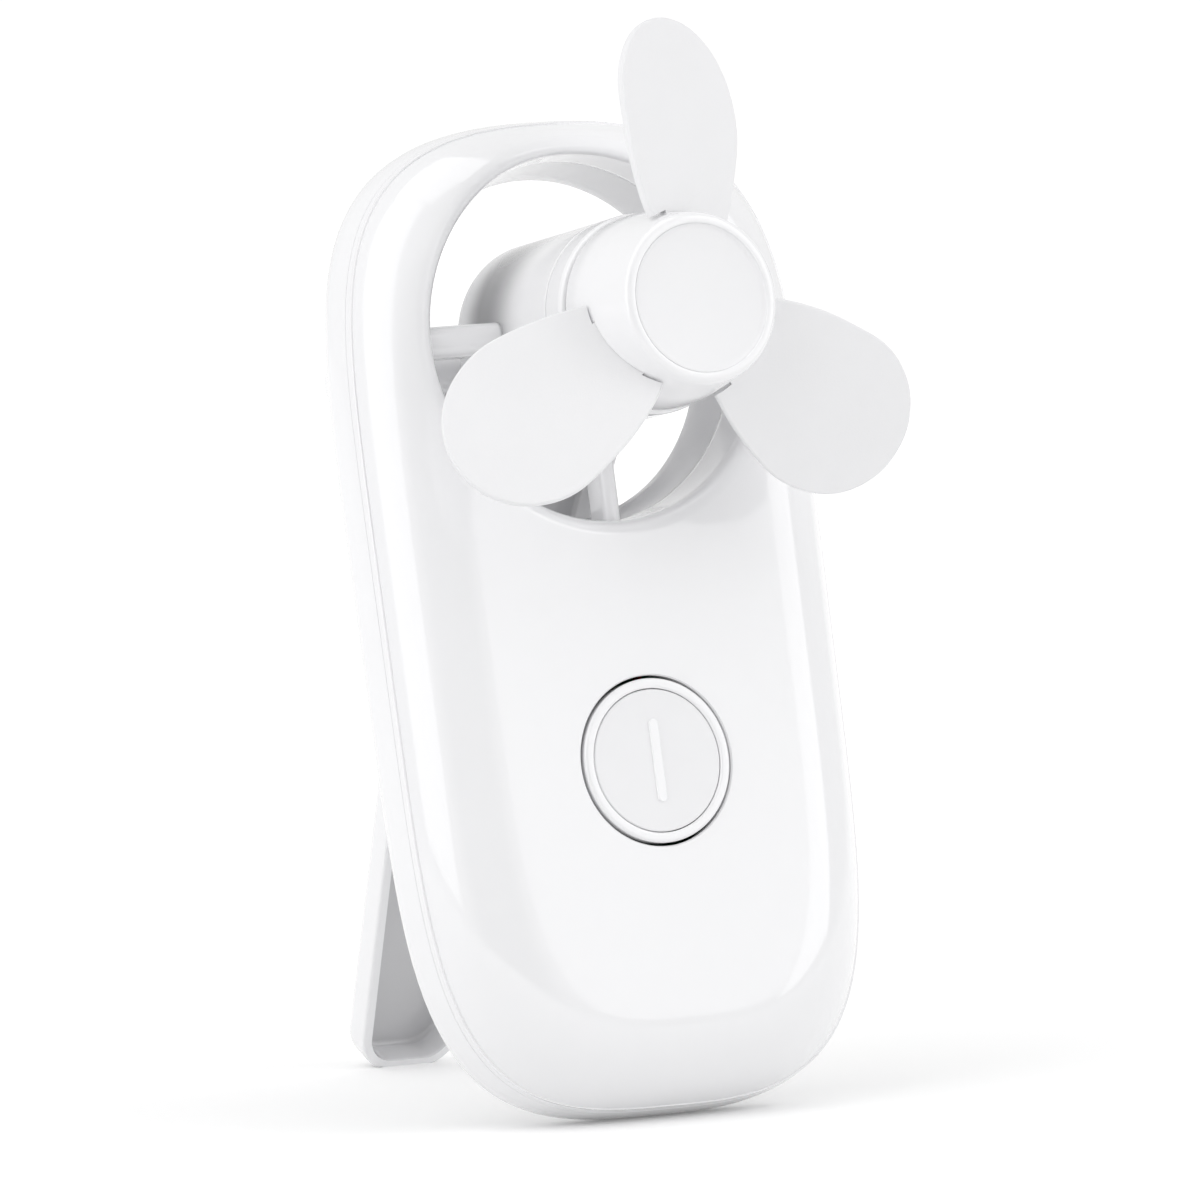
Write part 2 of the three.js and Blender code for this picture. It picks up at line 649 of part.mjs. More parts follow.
/** Everything below the surface that the fan stands on, in the closed leg's place. */
function belowFloor() {
  const slab = new THREE.BoxGeometry(200, 200, 60);
  slab.translate(0, 0, FLOOR - 30).rotateX(LEAN);
  const swing = new THREE.Matrix4().makeTranslation(0, HINGE.back, HINGE.height);
  swing.multiply(new THREE.Matrix4().makeRotationX(-LEG_ANGLE));
  swing.multiply(new THREE.Matrix4().makeTranslation(0, -HINGE.back, -HINGE.height));
  return solid(slab.applyMatrix4(swing));
}

function clipLeg() {
  const { rim, depth, wall, floor } = LEG;
  const pan = plate(legShape(0), rim, rim + depth, 5);
  const hollow = plate(legShape(wall), rim - 1, rim + depth - floor, 5);
  const { back, height, barrelHalf } = HINGE;
  const barrel = crossRod(HINGE.barrel, -barrelHalf, barrelHalf, back, height);
  const bore = crossRod(HINGE.pin + GAP, -30, 30, back, height);
  return cut(join(cut(pan, hollow), barrel), bore, belowFloor());
}

function hingePin() {
  return crossRod(HINGE.pin, -HINGE.lugOuter, HINGE.lugOuter, HINGE.back, HINGE.height, 16);
}

// ---- Assembly ----

function named(name, manifold, finish) {
  const mesh = new THREE.Mesh(geometryOf(manifold), new THREE.MeshStandardMaterial(finish));
  mesh.name = name;
  return mesh;
}

const SIDES = [['left', -1], ['right', 1]];

function buildBody() {
  const body = new THREE.Group();
  body.add(
    named('front_shell', frontShell(), GLOSS_WHITE),
    named('rear_shell', rearShell(), GLOSS_WHITE),
    named('battery_door', batteryDoor(), GLOSS_WHITE),
    named('motor_frame', motorFrame(), GLOSS_WHITE),
    named('pod_front', podFront(), GLOSS_WHITE),
    named('motor_can', motorCan(), STEEL),
    named('motor_end_cap', motorEndCap(), DARK_PLASTIC),
    named('motor_shaft', motorShaft(), STEEL),
    named('rotor_hub', rotorHub(), GLOSS_WHITE),
    named('hub_cap', hubCap(), SATIN_WHITE),
    named('button_ring', buttonRing(), GLOSS_WHITE),
    named('button_cap', buttonCap(), BUTTON_GREY),
    named('tact_switch', tactSwitch(), DARK_PLASTIC),
    named('circuit_board', circuitBoard(), BOARD_GREEN),
    named('leg_pin', hingePin(), STEEL),
  );
  BLADE_TURNS.forEach((turn, i) => {
    body.add(named(`blade_${i + 1}`, rotorBlade(turn), FOAM_GREY));
  });
  SCREW_PLACES.forEach((place, i) => {
    body.add(named(`case_screw_${i + 1}`, caseScrew(place), STEEL));
  });
  SIDES.forEach(([side, sign]) => {
    body.add(named(`battery_${side}`, battery(sign), BATTERY_SKIN));
    body.add(named(`nub_contact_${side}`, nubContact(sign), STEEL));
    body.add(named(`cell_spring_${side}`, cellSpring(sign), STEEL));
    body.add(named(`motor_terminal_${side}`, motorTerminal(sign), BRASS));
  });
  body.add(
    named('motor_wire_black', motorWire(-1), WIRE_BLACK),
    named('motor_wire_red', motorWire(1), WIRE_RED),
  );
  return body;
}

/** The leg turned out about its pin. */
function buildLeg() {
  const leg = new THREE.Group();
  const pan = named('clip_leg', clipLeg(), GLOSS_WHITE);
  pan.position.set(0, -HINGE.back, -HINGE.height);
  leg.add(pan);
  leg.position.set(0, HINGE.back, HINGE.height);
  leg.rotation.x = LEG_ANGLE;
  return leg;
}

/** Moves the standing fan so that the middle of its box, seen from above, is over the origin. */
function centre(group) {
  group.updateMatrixWorld(true);
  const middle = new THREE.Box3().setFromObject(group, true).getCenter(new THREE.Vector3());
  group.position.x -= middle.x;
  group.position.y -= middle.y;
}

const fan = new THREE.Group();
const leaning = buildBody();
leaning.add(buildLeg());
leaning.rotation.x = -LEAN;
leaning.position.z = -FLOOR;
fan.add(leaning);
centre(fan);

export default fan;
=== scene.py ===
"""A white pocket clip fan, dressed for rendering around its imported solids.

Every piece is drawn in millimetres in the fan's own frame, as its solids are: the origin is where
the rotor's axis meets the front face, +X is left to right from the front, +Y runs to the back and
+Z up the body. STANDING then leans the fan back, and FOLDED_OUT swings the leg about its pin.
"""

import json
import math

import bmesh
import bpy
from mathutils import Matrix, Vector
from mathutils.geometry import interpolate_bezier


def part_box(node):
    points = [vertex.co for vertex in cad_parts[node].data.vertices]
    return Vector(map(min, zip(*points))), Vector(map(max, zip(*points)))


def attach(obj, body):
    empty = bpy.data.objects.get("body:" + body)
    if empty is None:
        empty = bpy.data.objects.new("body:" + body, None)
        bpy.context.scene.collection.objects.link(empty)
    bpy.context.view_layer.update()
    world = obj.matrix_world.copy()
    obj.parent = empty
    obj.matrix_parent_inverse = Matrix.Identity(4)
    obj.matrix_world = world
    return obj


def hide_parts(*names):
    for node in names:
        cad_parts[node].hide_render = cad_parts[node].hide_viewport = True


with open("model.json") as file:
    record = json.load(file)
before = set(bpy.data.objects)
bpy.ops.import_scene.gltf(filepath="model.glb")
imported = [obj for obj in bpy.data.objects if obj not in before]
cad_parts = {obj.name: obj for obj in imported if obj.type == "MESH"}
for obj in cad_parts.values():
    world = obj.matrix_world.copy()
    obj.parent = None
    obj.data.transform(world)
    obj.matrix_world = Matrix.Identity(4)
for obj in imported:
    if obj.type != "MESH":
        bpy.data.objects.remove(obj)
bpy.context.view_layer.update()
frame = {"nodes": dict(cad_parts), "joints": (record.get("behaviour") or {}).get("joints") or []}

# ---- Measures ----

MM = 0.001
QUARTER = math.pi / 2
TURN = 2 * math.pi

BODY = {"half_width": 31.19, "half_length": 60.0, "centre": -33.6, "depth": 15.0}
SKEW = 0.017  # share by which the top is wider and the bottom narrower
TOP_CURVE = (2.54, 5.43)  # exponents of the rounded outline, across and along
BOTTOM_CURVE = (3.11, 5.1)
COLUMNS = 480  # of faces round the body
CROWN_ROWS = 40
BACK_ROWS = 6
RIM_STEPS = 4  # of faces round the tunnel's back rim
EDGE_STEPS = 9  # and round the back's edge
SIDE_DEPTHS = (10.6, 10.0, 9.0)  # rows of the rear shell's side
ROUND_SIDES = 128  # of the large round pieces
CROWN = 11.3  # radius of the front edge
REAR_EDGE = 3.5
PARTING = 8.1  # depth of the seam between the shells, on the side and in the tunnel
SKIN = 1.1
TUNNEL = {
    "height": -0.8, "radius": 22.2, "seam": 21.9, "back": 20.7, "rim": 2.2, "back_rim": 0.7,
}
GAP = 0.3
SEAM = 0.02  # what is open between two shells that touch inside
SEAM_EDGE = {"up": 0.05, "in": 0.03, "land": 0.2}  # the fine broken edge at the parting line
TUNNEL_EDGE = {"round": 0.22, "bulge": 0.06}  # the softer one at the seam in the tunnel
CLEAR = 1.0  # how far a cutting shape stands clear of what it cuts
THROUGH = 3.0  # how deep the openings in the back are cut

POD = {
    "radius": 12.1, "front": -11.9, "split": -8.0, "line": 0.18, "back": 15.0, "edge": 2.0,
    "wall": 1.2, "front_hole": 3.0, "back_hole": 2.6, "back_bore": 2.0,
}
ARM = {"front": 2.4, "back": 7.0, "inner": 10.4, "end": 23.2, "round": 1.5}
ARMS = [(QUARTER, 3.9, 0.0), (math.pi, 2.2, 0.8), (-QUARTER, 3.9, 0.0)]  # turn, width, extra reach

POD_PAINTED_SHADE = {"start": -2.9, "full": 6.6, "fade": 8.2, "end": 12.5}  # depths of the painted shade on the pod: where it starts, is full, fades and ends

HUB = {
    "face": -24.6, "back": -12.4, "face_radius": 10.2, "back_radius": 11.8, "swell": 0.55,
    "shoulder": 3.2, "flare": 8.2, "wall": 1.1, "bore": 1.3, "boss": 2.6, "boss_back": 1.5,
}
HUB_CAP = {"radius": 8.9, "front": -24.1, "thickness": 0.9, "dish": 0.5, "press": 0.02}
CAP_EDGE = [(0, 0.34), (0.1, 0.2), (0.3, 0.07), (0.6, 0)]  # inwards, and in front of its face
CAP_DISH = [(0.84, 0.3), (0.6, 0.74), (0.3, 0.94), (0, 1)]  # shares of its radius and of its dish
BLADE = {
    "thickness": 1.0, "pitch": math.radians(22), "middle": -21.2, "edge": 0.28, "hub_gap": 0.26,
    "tab_half": 4.2, "tab_start": 9.3, "tab_end": 14.4, "tab_turn": math.radians(31),
    "tab_gap": 0.05,
}
BLADE_TURNS = [math.radians(turn) for turn in (-16, 97.5, 213)]
BLADE_EDGE = [
    (11.0, 5.7), (15.4, 9.6), (20.2, 15.4), (22.0, 21.0), (21.4, 26.0), (18.6, 30.1), (14.2, 32.3),
    (9.7, 32.2), (6.0, 30.4), (3.2, 27.4), (1.2, 22.8), (-0.3, 18.0), (-1.1, 12.5), (-0.4, 8.6),
    (1.4, 7.0),
]

BUTTON = {
    "height": -52.2, "hole": 10.25, "hole_bevel": 0.16, "hole_edge": 0.2, "hole_end": 4.0,
    "ring": 9.9, "ring_rise": 0.15, "line": 8.65, "cap": 8.57, "front": -0.2, "deep": 1.6,
    "mark_half": 5.0, "mark_width": 1.25, "mark_rise": 0.25, "mark_root": 0.3, "mark_edge": 0.14,
    "stem": 2.0, "stem_start": 1.1, "stem_end": 3.8,
}
DOOR = {
    "half_width": 25.6, "top": -27.5, "bottom": -77.5, "corner": 4.0, "depth": 1.3, "sunk": 0.05,
    "edge": 0.18, "travel": 4.0,
}
GRIP = {  # the ribs by which the door is pushed, each shorter than the one below it
    "count": 5, "up": 5.0, "pitch": 1.9, "half": 7.0, "shorter": 0.5, "width": 0.9, "corner": 0.44,
    "deep": 0.5,
}
LEDGE = {"front": 2.6, "aside": 1.0, "under": 0.8, "over": 3.0}  # the step that the door slides on
SCREW_PLACES = [(19.4, 18.6), (-19.4, 18.6), (18.5, -84.5), (-18.5, -84.5)]
SCREW = {
    "head": 1.9, "shank": 0.9, "tip": 6.5, "thick": 1.0, "sunk": 0.1, "slot_half": 1.1,
    "slot_width": 0.44, "slot_deep": 0.75, "gap": 0.25,
}
CUP = {"wall": 1.0, "front": 2.4, "back": 1.5}  # what closes a screw's seat from inside

HINGE = {
    "back": 17.9, "height": -2.6, "barrel": 2.4, "half": 24.1, "edge": 0.3, "pin": 1.3,
    "bore_half": 30.0,
}
LUG = {"near": 24.6, "far": 27.2, "root": 0.6, "edge": 0.35}
LEG = {
    "top_half": 13.9, "foot_half": 6.9, "corner": 4.8, "rim": 15.4, "depth": 5.2, "wall": 1.2,
    "floor": 1.1, "start": 1.5, "back_round": 2.2, "rim_round": 0.4, "hollow_round": 0.7,
}
LEG_PAINTED_SHADE = {  # painted shade in the leg's hollow: where it darkens, by what share on its walls and floor, and more on top
    "edge": 0.7, "soft": 0.5, "walls": 0.22, "floor": 0.45, "top": 0.3, "top_fades": (48, 66),
}

joints = {joint["name"]: joint for joint in frame["joints"]}
ROTOR_DEPTH = 18.0  # how far in front of the front face the rotor's joint stands
front = Vector(joints["rotor_spin"]["axis"])
origin = Vector(joints["rotor_spin"]["pos_m"]) - front * ROTOR_DEPTH * MM
LEAN = math.atan2(front.z, -front.y)
LEG_ANGLE = math.radians(joints["leg_fold"]["range_deg"][1])

STANDING = Matrix.Translation(origin) @ Matrix.Rotation(-LEAN, 4, "X") @ Matrix.Scale(MM, 4)
hinge_place = Matrix.Translation((0, HINGE["back"], HINGE["height"]))
FOLDED_OUT = STANDING @ hinge_place @ Matrix.Rotation(LEG_ANGLE, 4, "X") @ hinge_place.inverted()


def leg_length():
    """From the pin to the lowest point of the solid leg, where its foot is cut flat."""
    unfold = FOLDED_OUT.inverted()
    places = [unfold @ vert.co for vert in frame["nodes"]["clip_leg"].data.vertices]
    return HINGE["height"] - min(place.z for place in places)


LEG_LENGTH = leg_length()
LEG_TAPER = (LEG["top_half"] - LEG["foot_half"]) / LEG_LENGTH


def direction(azimuth, elevation):
    """The way from the fan to a place around it. Azimuth 0 is straight in front of it."""
    flat = math.cos(elevation)
    return Vector((math.sin(azimuth) * flat, -math.cos(azimuth) * flat, math.sin(elevation)))


# ---- Camera ----

SENSOR = 36.0
LENS = 629.0
DISTANCE = 2.5188
AIM = origin + Vector((7.081, 13.66, -34.365)) * MM
AZIMUTH = math.radians(-30.088)
ELEVATION = math.radians(6.2)
ROLL = math.radians(1.082)


def place_camera():
    data = bpy.data.cameras.new("camera")
    data.sensor_width = SENSOR
    data.lens = LENS
    camera = bpy.data.objects.new("camera", data)
    bpy.context.scene.collection.objects.link(camera)
    back = direction(AZIMUTH, ELEVATION)
    camera.location = AIM + back * DISTANCE
    camera.rotation_mode = "QUATERNION"
    upright = (-back).to_track_quat("-Z", "Y")
    camera.rotation_quaternion = upright @ Matrix.Rotation(-ROLL, 3, "Z").to_quaternion()
    bpy.context.scene.camera = camera


# ---- Finishes: shader maths as Python expressions ----


def add_node(tree, kind, settings=None, inputs=None):
    """Adds a node: its settings first, then the values or links of its sockets."""
    made = tree.nodes.new(kind)
    for key, value in (settings or {}).items():
        setattr(made, key, value)
    for key, value in (inputs or {}).items():
        source = value.socket if isinstance(value, Shade) else value
        if isinstance(source, bpy.types.NodeSocket):
            tree.links.new(source, made.inputs[key])
        else:
            made.inputs[key].default_value = source
    return made


def add_math(tree, operation, *values):
    inputs = dict(enumerate(values))
    return add_node(tree, "ShaderNodeMath", {"operation": operation}, inputs).outputs[0]


class Shade:
    """A number that varies over a surface. Arithmetic on it adds Math nodes."""

    def __init__(self, finish, socket):
        self.finish = finish
        self.socket = socket

    def maths(self, operation, *others):
        return Shade(self.finish, add_math(self.finish.tree, operation, self, *others))

    def __add__(self, other):
        return self.maths("ADD", other)

    __radd__ = __add__

    def __sub__(self, other):
        return self.maths("SUBTRACT", other)

    def __rsub__(self, other):
        return Shade(self.finish, add_math(self.finish.tree, "SUBTRACT", other, self))

    def __mul__(self, other):
        return self.maths("MULTIPLY", other)

    def __pow__(self, other):
        return self.maths("POWER", other)

    def __abs__(self):
        return self.maths("ABSOLUTE")

    def rise(self, start, end):
        """0 before start and 1 after end, smooth between them."""
        inputs = {"Value": self, "From Min": start, "From Max": end}
        made = self.finish.node("ShaderNodeMapRange", {"interpolation_type": "SMOOTHSTEP"}, inputs)
        return Shade(self.finish, made.outputs["Result"])

    def between(self, low, high, soft):
        """1 from low to high, falling to 0 over soft on each side."""
        return self.rise(low - soft, low) * (1 - self.rise(high, high + soft))


MIX_SHARE, MIX_FIRST, MIX_SECOND = 0, 6, 7  # input sockets of a colour mix
MIX_COLOUR = 2  # its output socket


class Finish:
    """One procedural material, read in millimetres in the fan's own frame."""

    def __init__(self, name, **constants):
        self.material = bpy.data.materials.new(name)
        self.material.use_nodes = True
        self.tree = self.material.node_tree
        self.tree.nodes.clear()
        self.shader = self.node("ShaderNodeBsdfPrincipled", {}, constants)
        end = self.node("ShaderNodeOutputMaterial")
        self.tree.links.new(self.shader.outputs["BSDF"], end.inputs["Surface"])
        where = self.node("ShaderNodeTexCoord").outputs["Object"]
        place = {
            "Vector": where, "Location": origin, "Rotation": (-LEAN, 0, 0), "Scale": (MM, MM, MM),
        }
        self.place = self.node("ShaderNodeMapping", {"vector_type": "TEXTURE"}, place).outputs[0]

    def node(self, kind, settings=None, inputs=None):
        return add_node(self.tree, kind, settings, inputs)

    def axes(self):
        """The place on the fan as three values: across, depth and height, in millimetres."""
        split = self.node("ShaderNodeSeparateXYZ", {}, {0: self.place})
        return [Shade(self, socket) for socket in split.outputs]

    def noise(self, scale, detail=2.0, roughness=0.5, stretch=(1, 1, 1)):
        """Noise from 0 to 1, with scale patches to a millimetre."""
        place = self.node("ShaderNodeMapping", {}, {"Vector": self.place, "Scale": stretch})
        inputs = {"Scale": scale, "Detail": detail, "Roughness": roughness}
        inputs["Vector"] = place.outputs[0]
        return Shade(self, self.node("ShaderNodeTexNoise", {}, inputs).outputs[0])

    def mix(self, share, first, second):
        """Two colours mixed by a share."""
        inputs = {MIX_SHARE: share, MIX_FIRST: first, MIX_SECOND: second}
        return self.node("ShaderNodeMix", {"data_type": "RGBA"}, inputs).outputs[MIX_COLOUR]

    def bump(self, height, distance):
        """Raises the surface by height times distance, in millimetres."""
        inputs = {"Height": height, "Distance": distance * MM}
        self.feed(Normal=self.node("ShaderNodeBump", {}, inputs).outputs[0])

    def feed(self, **sockets):
        """Links what varies to the shader's sockets, whose names are given with underscores."""
        for key, value in sockets.items():
            source = value.socket if isinstance(value, Shade) else value
            self.tree.links.new(source, self.shader.inputs[key.replace("_", " ")])


def white(level, tint=0.012):
    """A very slightly cool white of that level."""
    return (level, level, min(1.0, level + tint), 1.0)


def moulded_white(name, level, gloss, shadow=None, dark=0.24):
    """Glossy moulded plastic: faint flow in the colour, handling marks in the gloss, and a skin
    that isn't quite flat. shadow paints shade: it darkens it towards dark by a share of its place."""
    finish = Finish(name, **{"IOR": 1.5, "Coat Weight": 1.0, "Coat Roughness": 0.05})
    flow = finish.noise(0.05, 2, stretch=(1, 1, 0.35))
    cloud = finish.noise(0.3, 3)
    colour = finish.mix(flow * 0.6 + cloud * 0.4, white(level - 0.012), white(level + 0.012))
    # painted shade: the colour is darkened towards dark where shadow says
    if shadow:
        colour = finish.mix(shadow(finish), colour, white(dark))
    smudges = finish.noise(0.09, 3).rise(0.45, 0.75)
    fine = finish.noise(2.2, 3)
    finish.feed(Base_Color=colour, Roughness=gloss + smudges * 0.04 + fine * 0.03)
    finish.bump(finish.noise(0.5, 2) + fine * 0.15, 0.004)
    return finish.material


def pod_painted_shade(finish):
    """Painted shade: the pod's colour darkens towards its rounded back end, as if shaded there, and
    its arms are not darkened.
    """
    across, depth, height = finish.axes()
    reach = (across**2 + height**2) ** 0.5
    on_pod = 1 - reach.rise(POD["radius"] + 0.05, POD["radius"] + 0.5)
    darkens = depth.rise(POD_PAINTED_SHADE["start"], POD_PAINTED_SHADE["full"])
    return darkens * (1 - depth.rise(POD_PAINTED_SHADE["fade"], POD_PAINTED_SHADE["end"])) * on_pod


def leg_painted_shade(finish):
    """Painted shade: the leg's hollow is darkened as if in shadow, darkest on its floor and near the
    case.
    """
    across, depth, height = finish.axes()
    back, down = depth - HINGE["back"], HINGE["height"] - height
    along = back * math.sin(LEG_ANGLE) + down * math.cos(LEG_ANGLE)
    off = back * math.cos(LEG_ANGLE) - down * math.sin(LEG_ANGLE) + HINGE["back"]
    half = LEG["top_half"] - along * LEG_TAPER - LEG["wall"]
    between_walls = 1 - (abs(across) - half).rise(-0.15, 0.15)
    rim, outside = LEG["rim"], LEG["rim"] + LEG["depth"]
    edge, floor = LEG_PAINTED_SHADE["edge"], outside - LEG["floor"]
    top = LEG["start"] + LEG["wall"]
    below_barrel = along.rise(top - 0.2, top + 0.1)
    hollow = off.between(rim + edge, outside - edge, LEG_PAINTED_SHADE["soft"]) * between_walls
    under_case = 1 - along.rise(*LEG_PAINTED_SHADE["top_fades"])
    on_floor = off.rise(floor - 0.7, floor - 0.2)
    share = on_floor * (under_case * LEG_PAINTED_SHADE["top"] + LEG_PAINTED_SHADE["floor"]) + LEG_PAINTED_SHADE["walls"]
    return hollow * below_barrel * share


def soft_foam():
    """The paddles' soft foam sheet: matt, with fine closed cells."""
    sheen = {"Sheen Weight": 0.12, "Sheen Roughness": 0.4}
    finish = Finish("soft_paddle_foam", IOR=1.42, **sheen)
    cells = finish.noise(5.0, 3, 0.6)
    cloud = finish.noise(0.16, 2)
    colour = finish.mix(cloud * 0.5 + cells * 0.5, white(0.825), white(0.87))
    finish.feed(Base_Color=colour, Roughness=0.5 + cells * 0.14)
    finish.bump(cells, 0.012)
    return finish.material


def satin_white(name, level, raised=None):
    """Spark-finished plastic: a fine even grain over a soft gloss. raised is the depth in front
    of which it is polished and lighter."""
    finish = Finish(name, IOR=1.46)
    grain = finish.noise(6.0, 2, 0.6)
    cloud = finish.noise(0.2, 2)
    colour = finish.mix(cloud * 0.7 + grain * 0.3, white(level - 0.012), white(level + 0.012))
    rough = grain * 0.1 + 0.33
    if raised is not None:
        mark = 1 - finish.axes()[1].rise(raised - 0.05, raised)
        colour = finish.mix(mark, colour, white(0.94))
        rough = rough - mark * 0.2
    finish.feed(Base_Color=colour, Roughness=rough)
    finish.bump(grain, 0.006)
    return finish.material


def turned_steel():
    finish = Finish("bright_steel", Metallic=1.0)
    lines = finish.noise(1.2, 3, stretch=(0.2, 3, 3))
    stain = finish.noise(0.4, 3)
    colour = finish.mix(stain, (0.56, 0.57, 0.59, 1), (0.68, 0.69, 0.71, 1))
    finish.feed(Base_Color=colour, Roughness=0.24 + lines * 0.18)
    finish.bump(lines, 0.004)
    return finish.material


def plated_brass():
    finish = Finish("brass_terminal", Metallic=1.0)
    stain = finish.noise(1.1, 3)
    colour = finish.mix(stain, (0.62, 0.45, 0.2, 1), (0.78, 0.62, 0.32, 1))
    finish.feed(Base_Color=colour, Roughness=0.26 + stain * 0.2)
    return finish.material


def black_plastic():
    finish = Finish("black_nylon")
    grain = finish.noise(4.0, 3)
    colour = finish.mix(grain, (0.014, 0.014, 0.016, 1), (0.03, 0.03, 0.033, 1))
    finish.feed(Base_Color=colour, Roughness=0.42 + grain * 0.2)
    finish.bump(grain, 0.01)
    return finish.material


def board_mask():
    """Green solder mask with slightly lighter copper runs under it."""
    finish = Finish("board_mask", **{"Coat Weight": 0.4, "Coat Roughness": 0.15})
    across, _, height = finish.axes()
    slant = height * 1.7 + across * 0.6
    runs = slant.maths("PINGPONG", 1.0).rise(0.42, 0.5)
    weave = finish.noise(3.0, 2, stretch=(1, 1, 4))
    colour = finish.mix(runs * 0.6 + weave * 0.2, (0.015, 0.09, 0.04, 1), (0.04, 0.2, 0.09, 1))
    finish.feed(Base_Color=colour, Roughness=0.35 + weave * 0.2)
    return finish.material


def cell_jacket():
    """The shrunk plastic jacket of a plain cell, with one paler band."""
    finish = Finish("cell_jacket", **{"Coat Weight": 0.5, "Coat Roughness": 0.1})
    height = finish.axes()[2]
    band = height.between(-40, -34, 0.1)
    sheen = finish.noise(0.6, 2, stretch=(1, 1, 0.2))
    dark = finish.mix(sheen, (0.05, 0.055, 0.065, 1), (0.09, 0.095, 0.11, 1))
    colour = finish.mix(band, dark, (0.45, 0.46, 0.48, 1))
    finish.feed(Base_Color=colour, Roughness=0.25 + sheen * 0.12)
    return finish.material


def wire_skin(name, dark, light):
    finish = Finish(name)
    along = finish.noise(1.5, 2, stretch=(1, 1, 0.3))
    finish.feed(Base_Color=finish.mix(along, dark, light), Roughness=0.4 + along * 0.15)
    return finish.material


# ---- Shaping with operators ----


def turned(profile, sides=96, closed=True):
    """A skin spun about the rotor's axis from (radius, depth) pairs."""
    shape = bmesh.new()
    verts = [shape.verts.new((radius, depth, 0)) for radius, depth in profile]
    pairs = list(zip(verts, verts[1:])) + ([(verts[-1], verts[0])] if closed else [])
    edges = [shape.edges.new(pair) for pair in pairs]
    bmesh.ops.spin(
        shape, geom=verts + edges, cent=(0, 0, 0), axis=(0, 1, 0), angle=TURN, steps=sides,
        use_merge=True,
    )
    return tidied(shape)


def tidied(shape):
    """Doubles merged, then faces turned outwards."""
    bmesh.ops.remove_doubles(shape, verts=shape.verts[:], dist=1e-4)
    bmesh.ops.recalc_face_normals(shape, faces=shape.faces[:])
    return shape


def rounded_corner(before, corner, after, radius, steps):
    """Points of a round corner between two straight runs of a profile."""
    start = corner + (before - corner).normalized() * radius
    end = corner + (after - corner).normalized() * radius
    return interpolate_bezier(start, start.lerp(corner, 0.55), end.lerp(corner, 0.55), end, steps)


def smooth_profile(corners, steps=5):
    """(radius, depth, rounding) corners as (radius, depth) pairs, each corner rounded."""
    points = [Vector((radius, depth, 0)) for radius, depth, rounding in corners]
    profile = []
    for i, (radius, depth, rounding) in enumerate(corners):
        after = points[(i + 1) % len(points)]
        if rounding:
            found = rounded_corner(points[i - 1], points[i], after, rounding, steps)
            profile += [(point.x, point.y) for point in found]
        else:
            profile.append((radius, depth))
    return profile


def slab(outline, front_depth, back_depth):
    """A flat shape drawn from the front as (across, height) points, given depth."""
    shape = bmesh.new()
    face = shape.faces.new([shape.verts.new((x, back_depth, z)) for x, z in outline])
    made = bmesh.ops.extrude_face_region(shape, geom=[face])["geom"]
    moved = [part for part in made if isinstance(part, bmesh.types.BMVert)]
    bmesh.ops.translate(shape, verts=moved, vec=(0, front_depth - back_depth, 0))
    bmesh.ops.recalc_face_normals(shape, faces=shape.faces[:])
    return shape


def arc(x, z, radius, start, end, steps=8):
    points = []
    for i in range(steps + 1):
        angle = start + (end - start) * i / steps
        points.append((x + radius * math.cos(angle), z + radius * math.sin(angle)))
    return points


def rounded_rectangle(half_width, bottom, top, corner, steps=8):
    right, low, high = half_width - corner, bottom + corner, top - corner
    return (
        arc(right, low, corner, -QUARTER, 0, steps)
        + arc(right, high, corner, 0, QUARTER, steps)
        + arc(-right, high, corner, QUARTER, math.pi, steps)
        + arc(-right, low, corner, math.pi, 1.5 * math.pi, steps)
    )


SHARP = math.radians(40)
SMOOTH = math.radians(38)  # faces that meet at less are shaded as one surface


def softened(shape, width, segments=3, where=None):
    """Rounds every sharp edge, or those that where() picks among them."""
    edges = []
    for edge in shape.edges:
        if len(edge.link_faces) == 2 and edge.calc_face_angle(0) > SHARP:
            if where is None or where(edge):
                edges.append(edge)
    bmesh.ops.bevel(
        shape, geom=edges, offset=width, offset_type="OFFSET", segments=segments, profile=0.5,
        affect="EDGES", clamp_overlap=True, material=-1,
    )
    return shape


def rod(radius, front_depth, back_depth, x=0.0, z=0.0, sides=64):
    """A round bar along the depth."""
    shape = bmesh.new()
    middle = Matrix.Translation((x, (front_depth + back_depth) / 2, z))
    bmesh.ops.create_cone(
        shape, cap_ends=True, segments=sides, radius1=radius, radius2=radius,
        depth=back_depth - front_depth, matrix=middle @ Matrix.Rotation(QUARTER, 4, "X"),
    )
    return shape


def hinge_bar(radius, half_length):
    """A round bar across the fan, on the line about which the leg folds."""
    shape = bmesh.new()
    bmesh.ops.create_cone(
        shape, cap_ends=True, segments=48, radius1=radius, radius2=radius,
        depth=2 * half_length, matrix=hinge_place @ Matrix.Rotation(QUARTER, 4, "Y"),
    )
    return shape


def brick(low, high):
    """A box between two corners."""
    shape = bmesh.new()
    size = Vector(high) - Vector(low)
    middle = (Vector(high) + Vector(low)) / 2
    place = Matrix.Translation(middle) @ Matrix.Diagonal((*size, 1))
    bmesh.ops.create_cube(shape, size=1, matrix=place)
    return shape


def moved(shape, matrix):
    bmesh.ops.transform(shape, matrix=matrix, verts=shape.verts[:])
    return shape


def loose_object(shape, name="loose"):
    mesh = bpy.data.meshes.new(name)
    shape.to_mesh(mesh)
    shape.free()
    made = bpy.data.objects.new(name, mesh)
    bpy.context.scene.collection.objects.link(made)
    return made


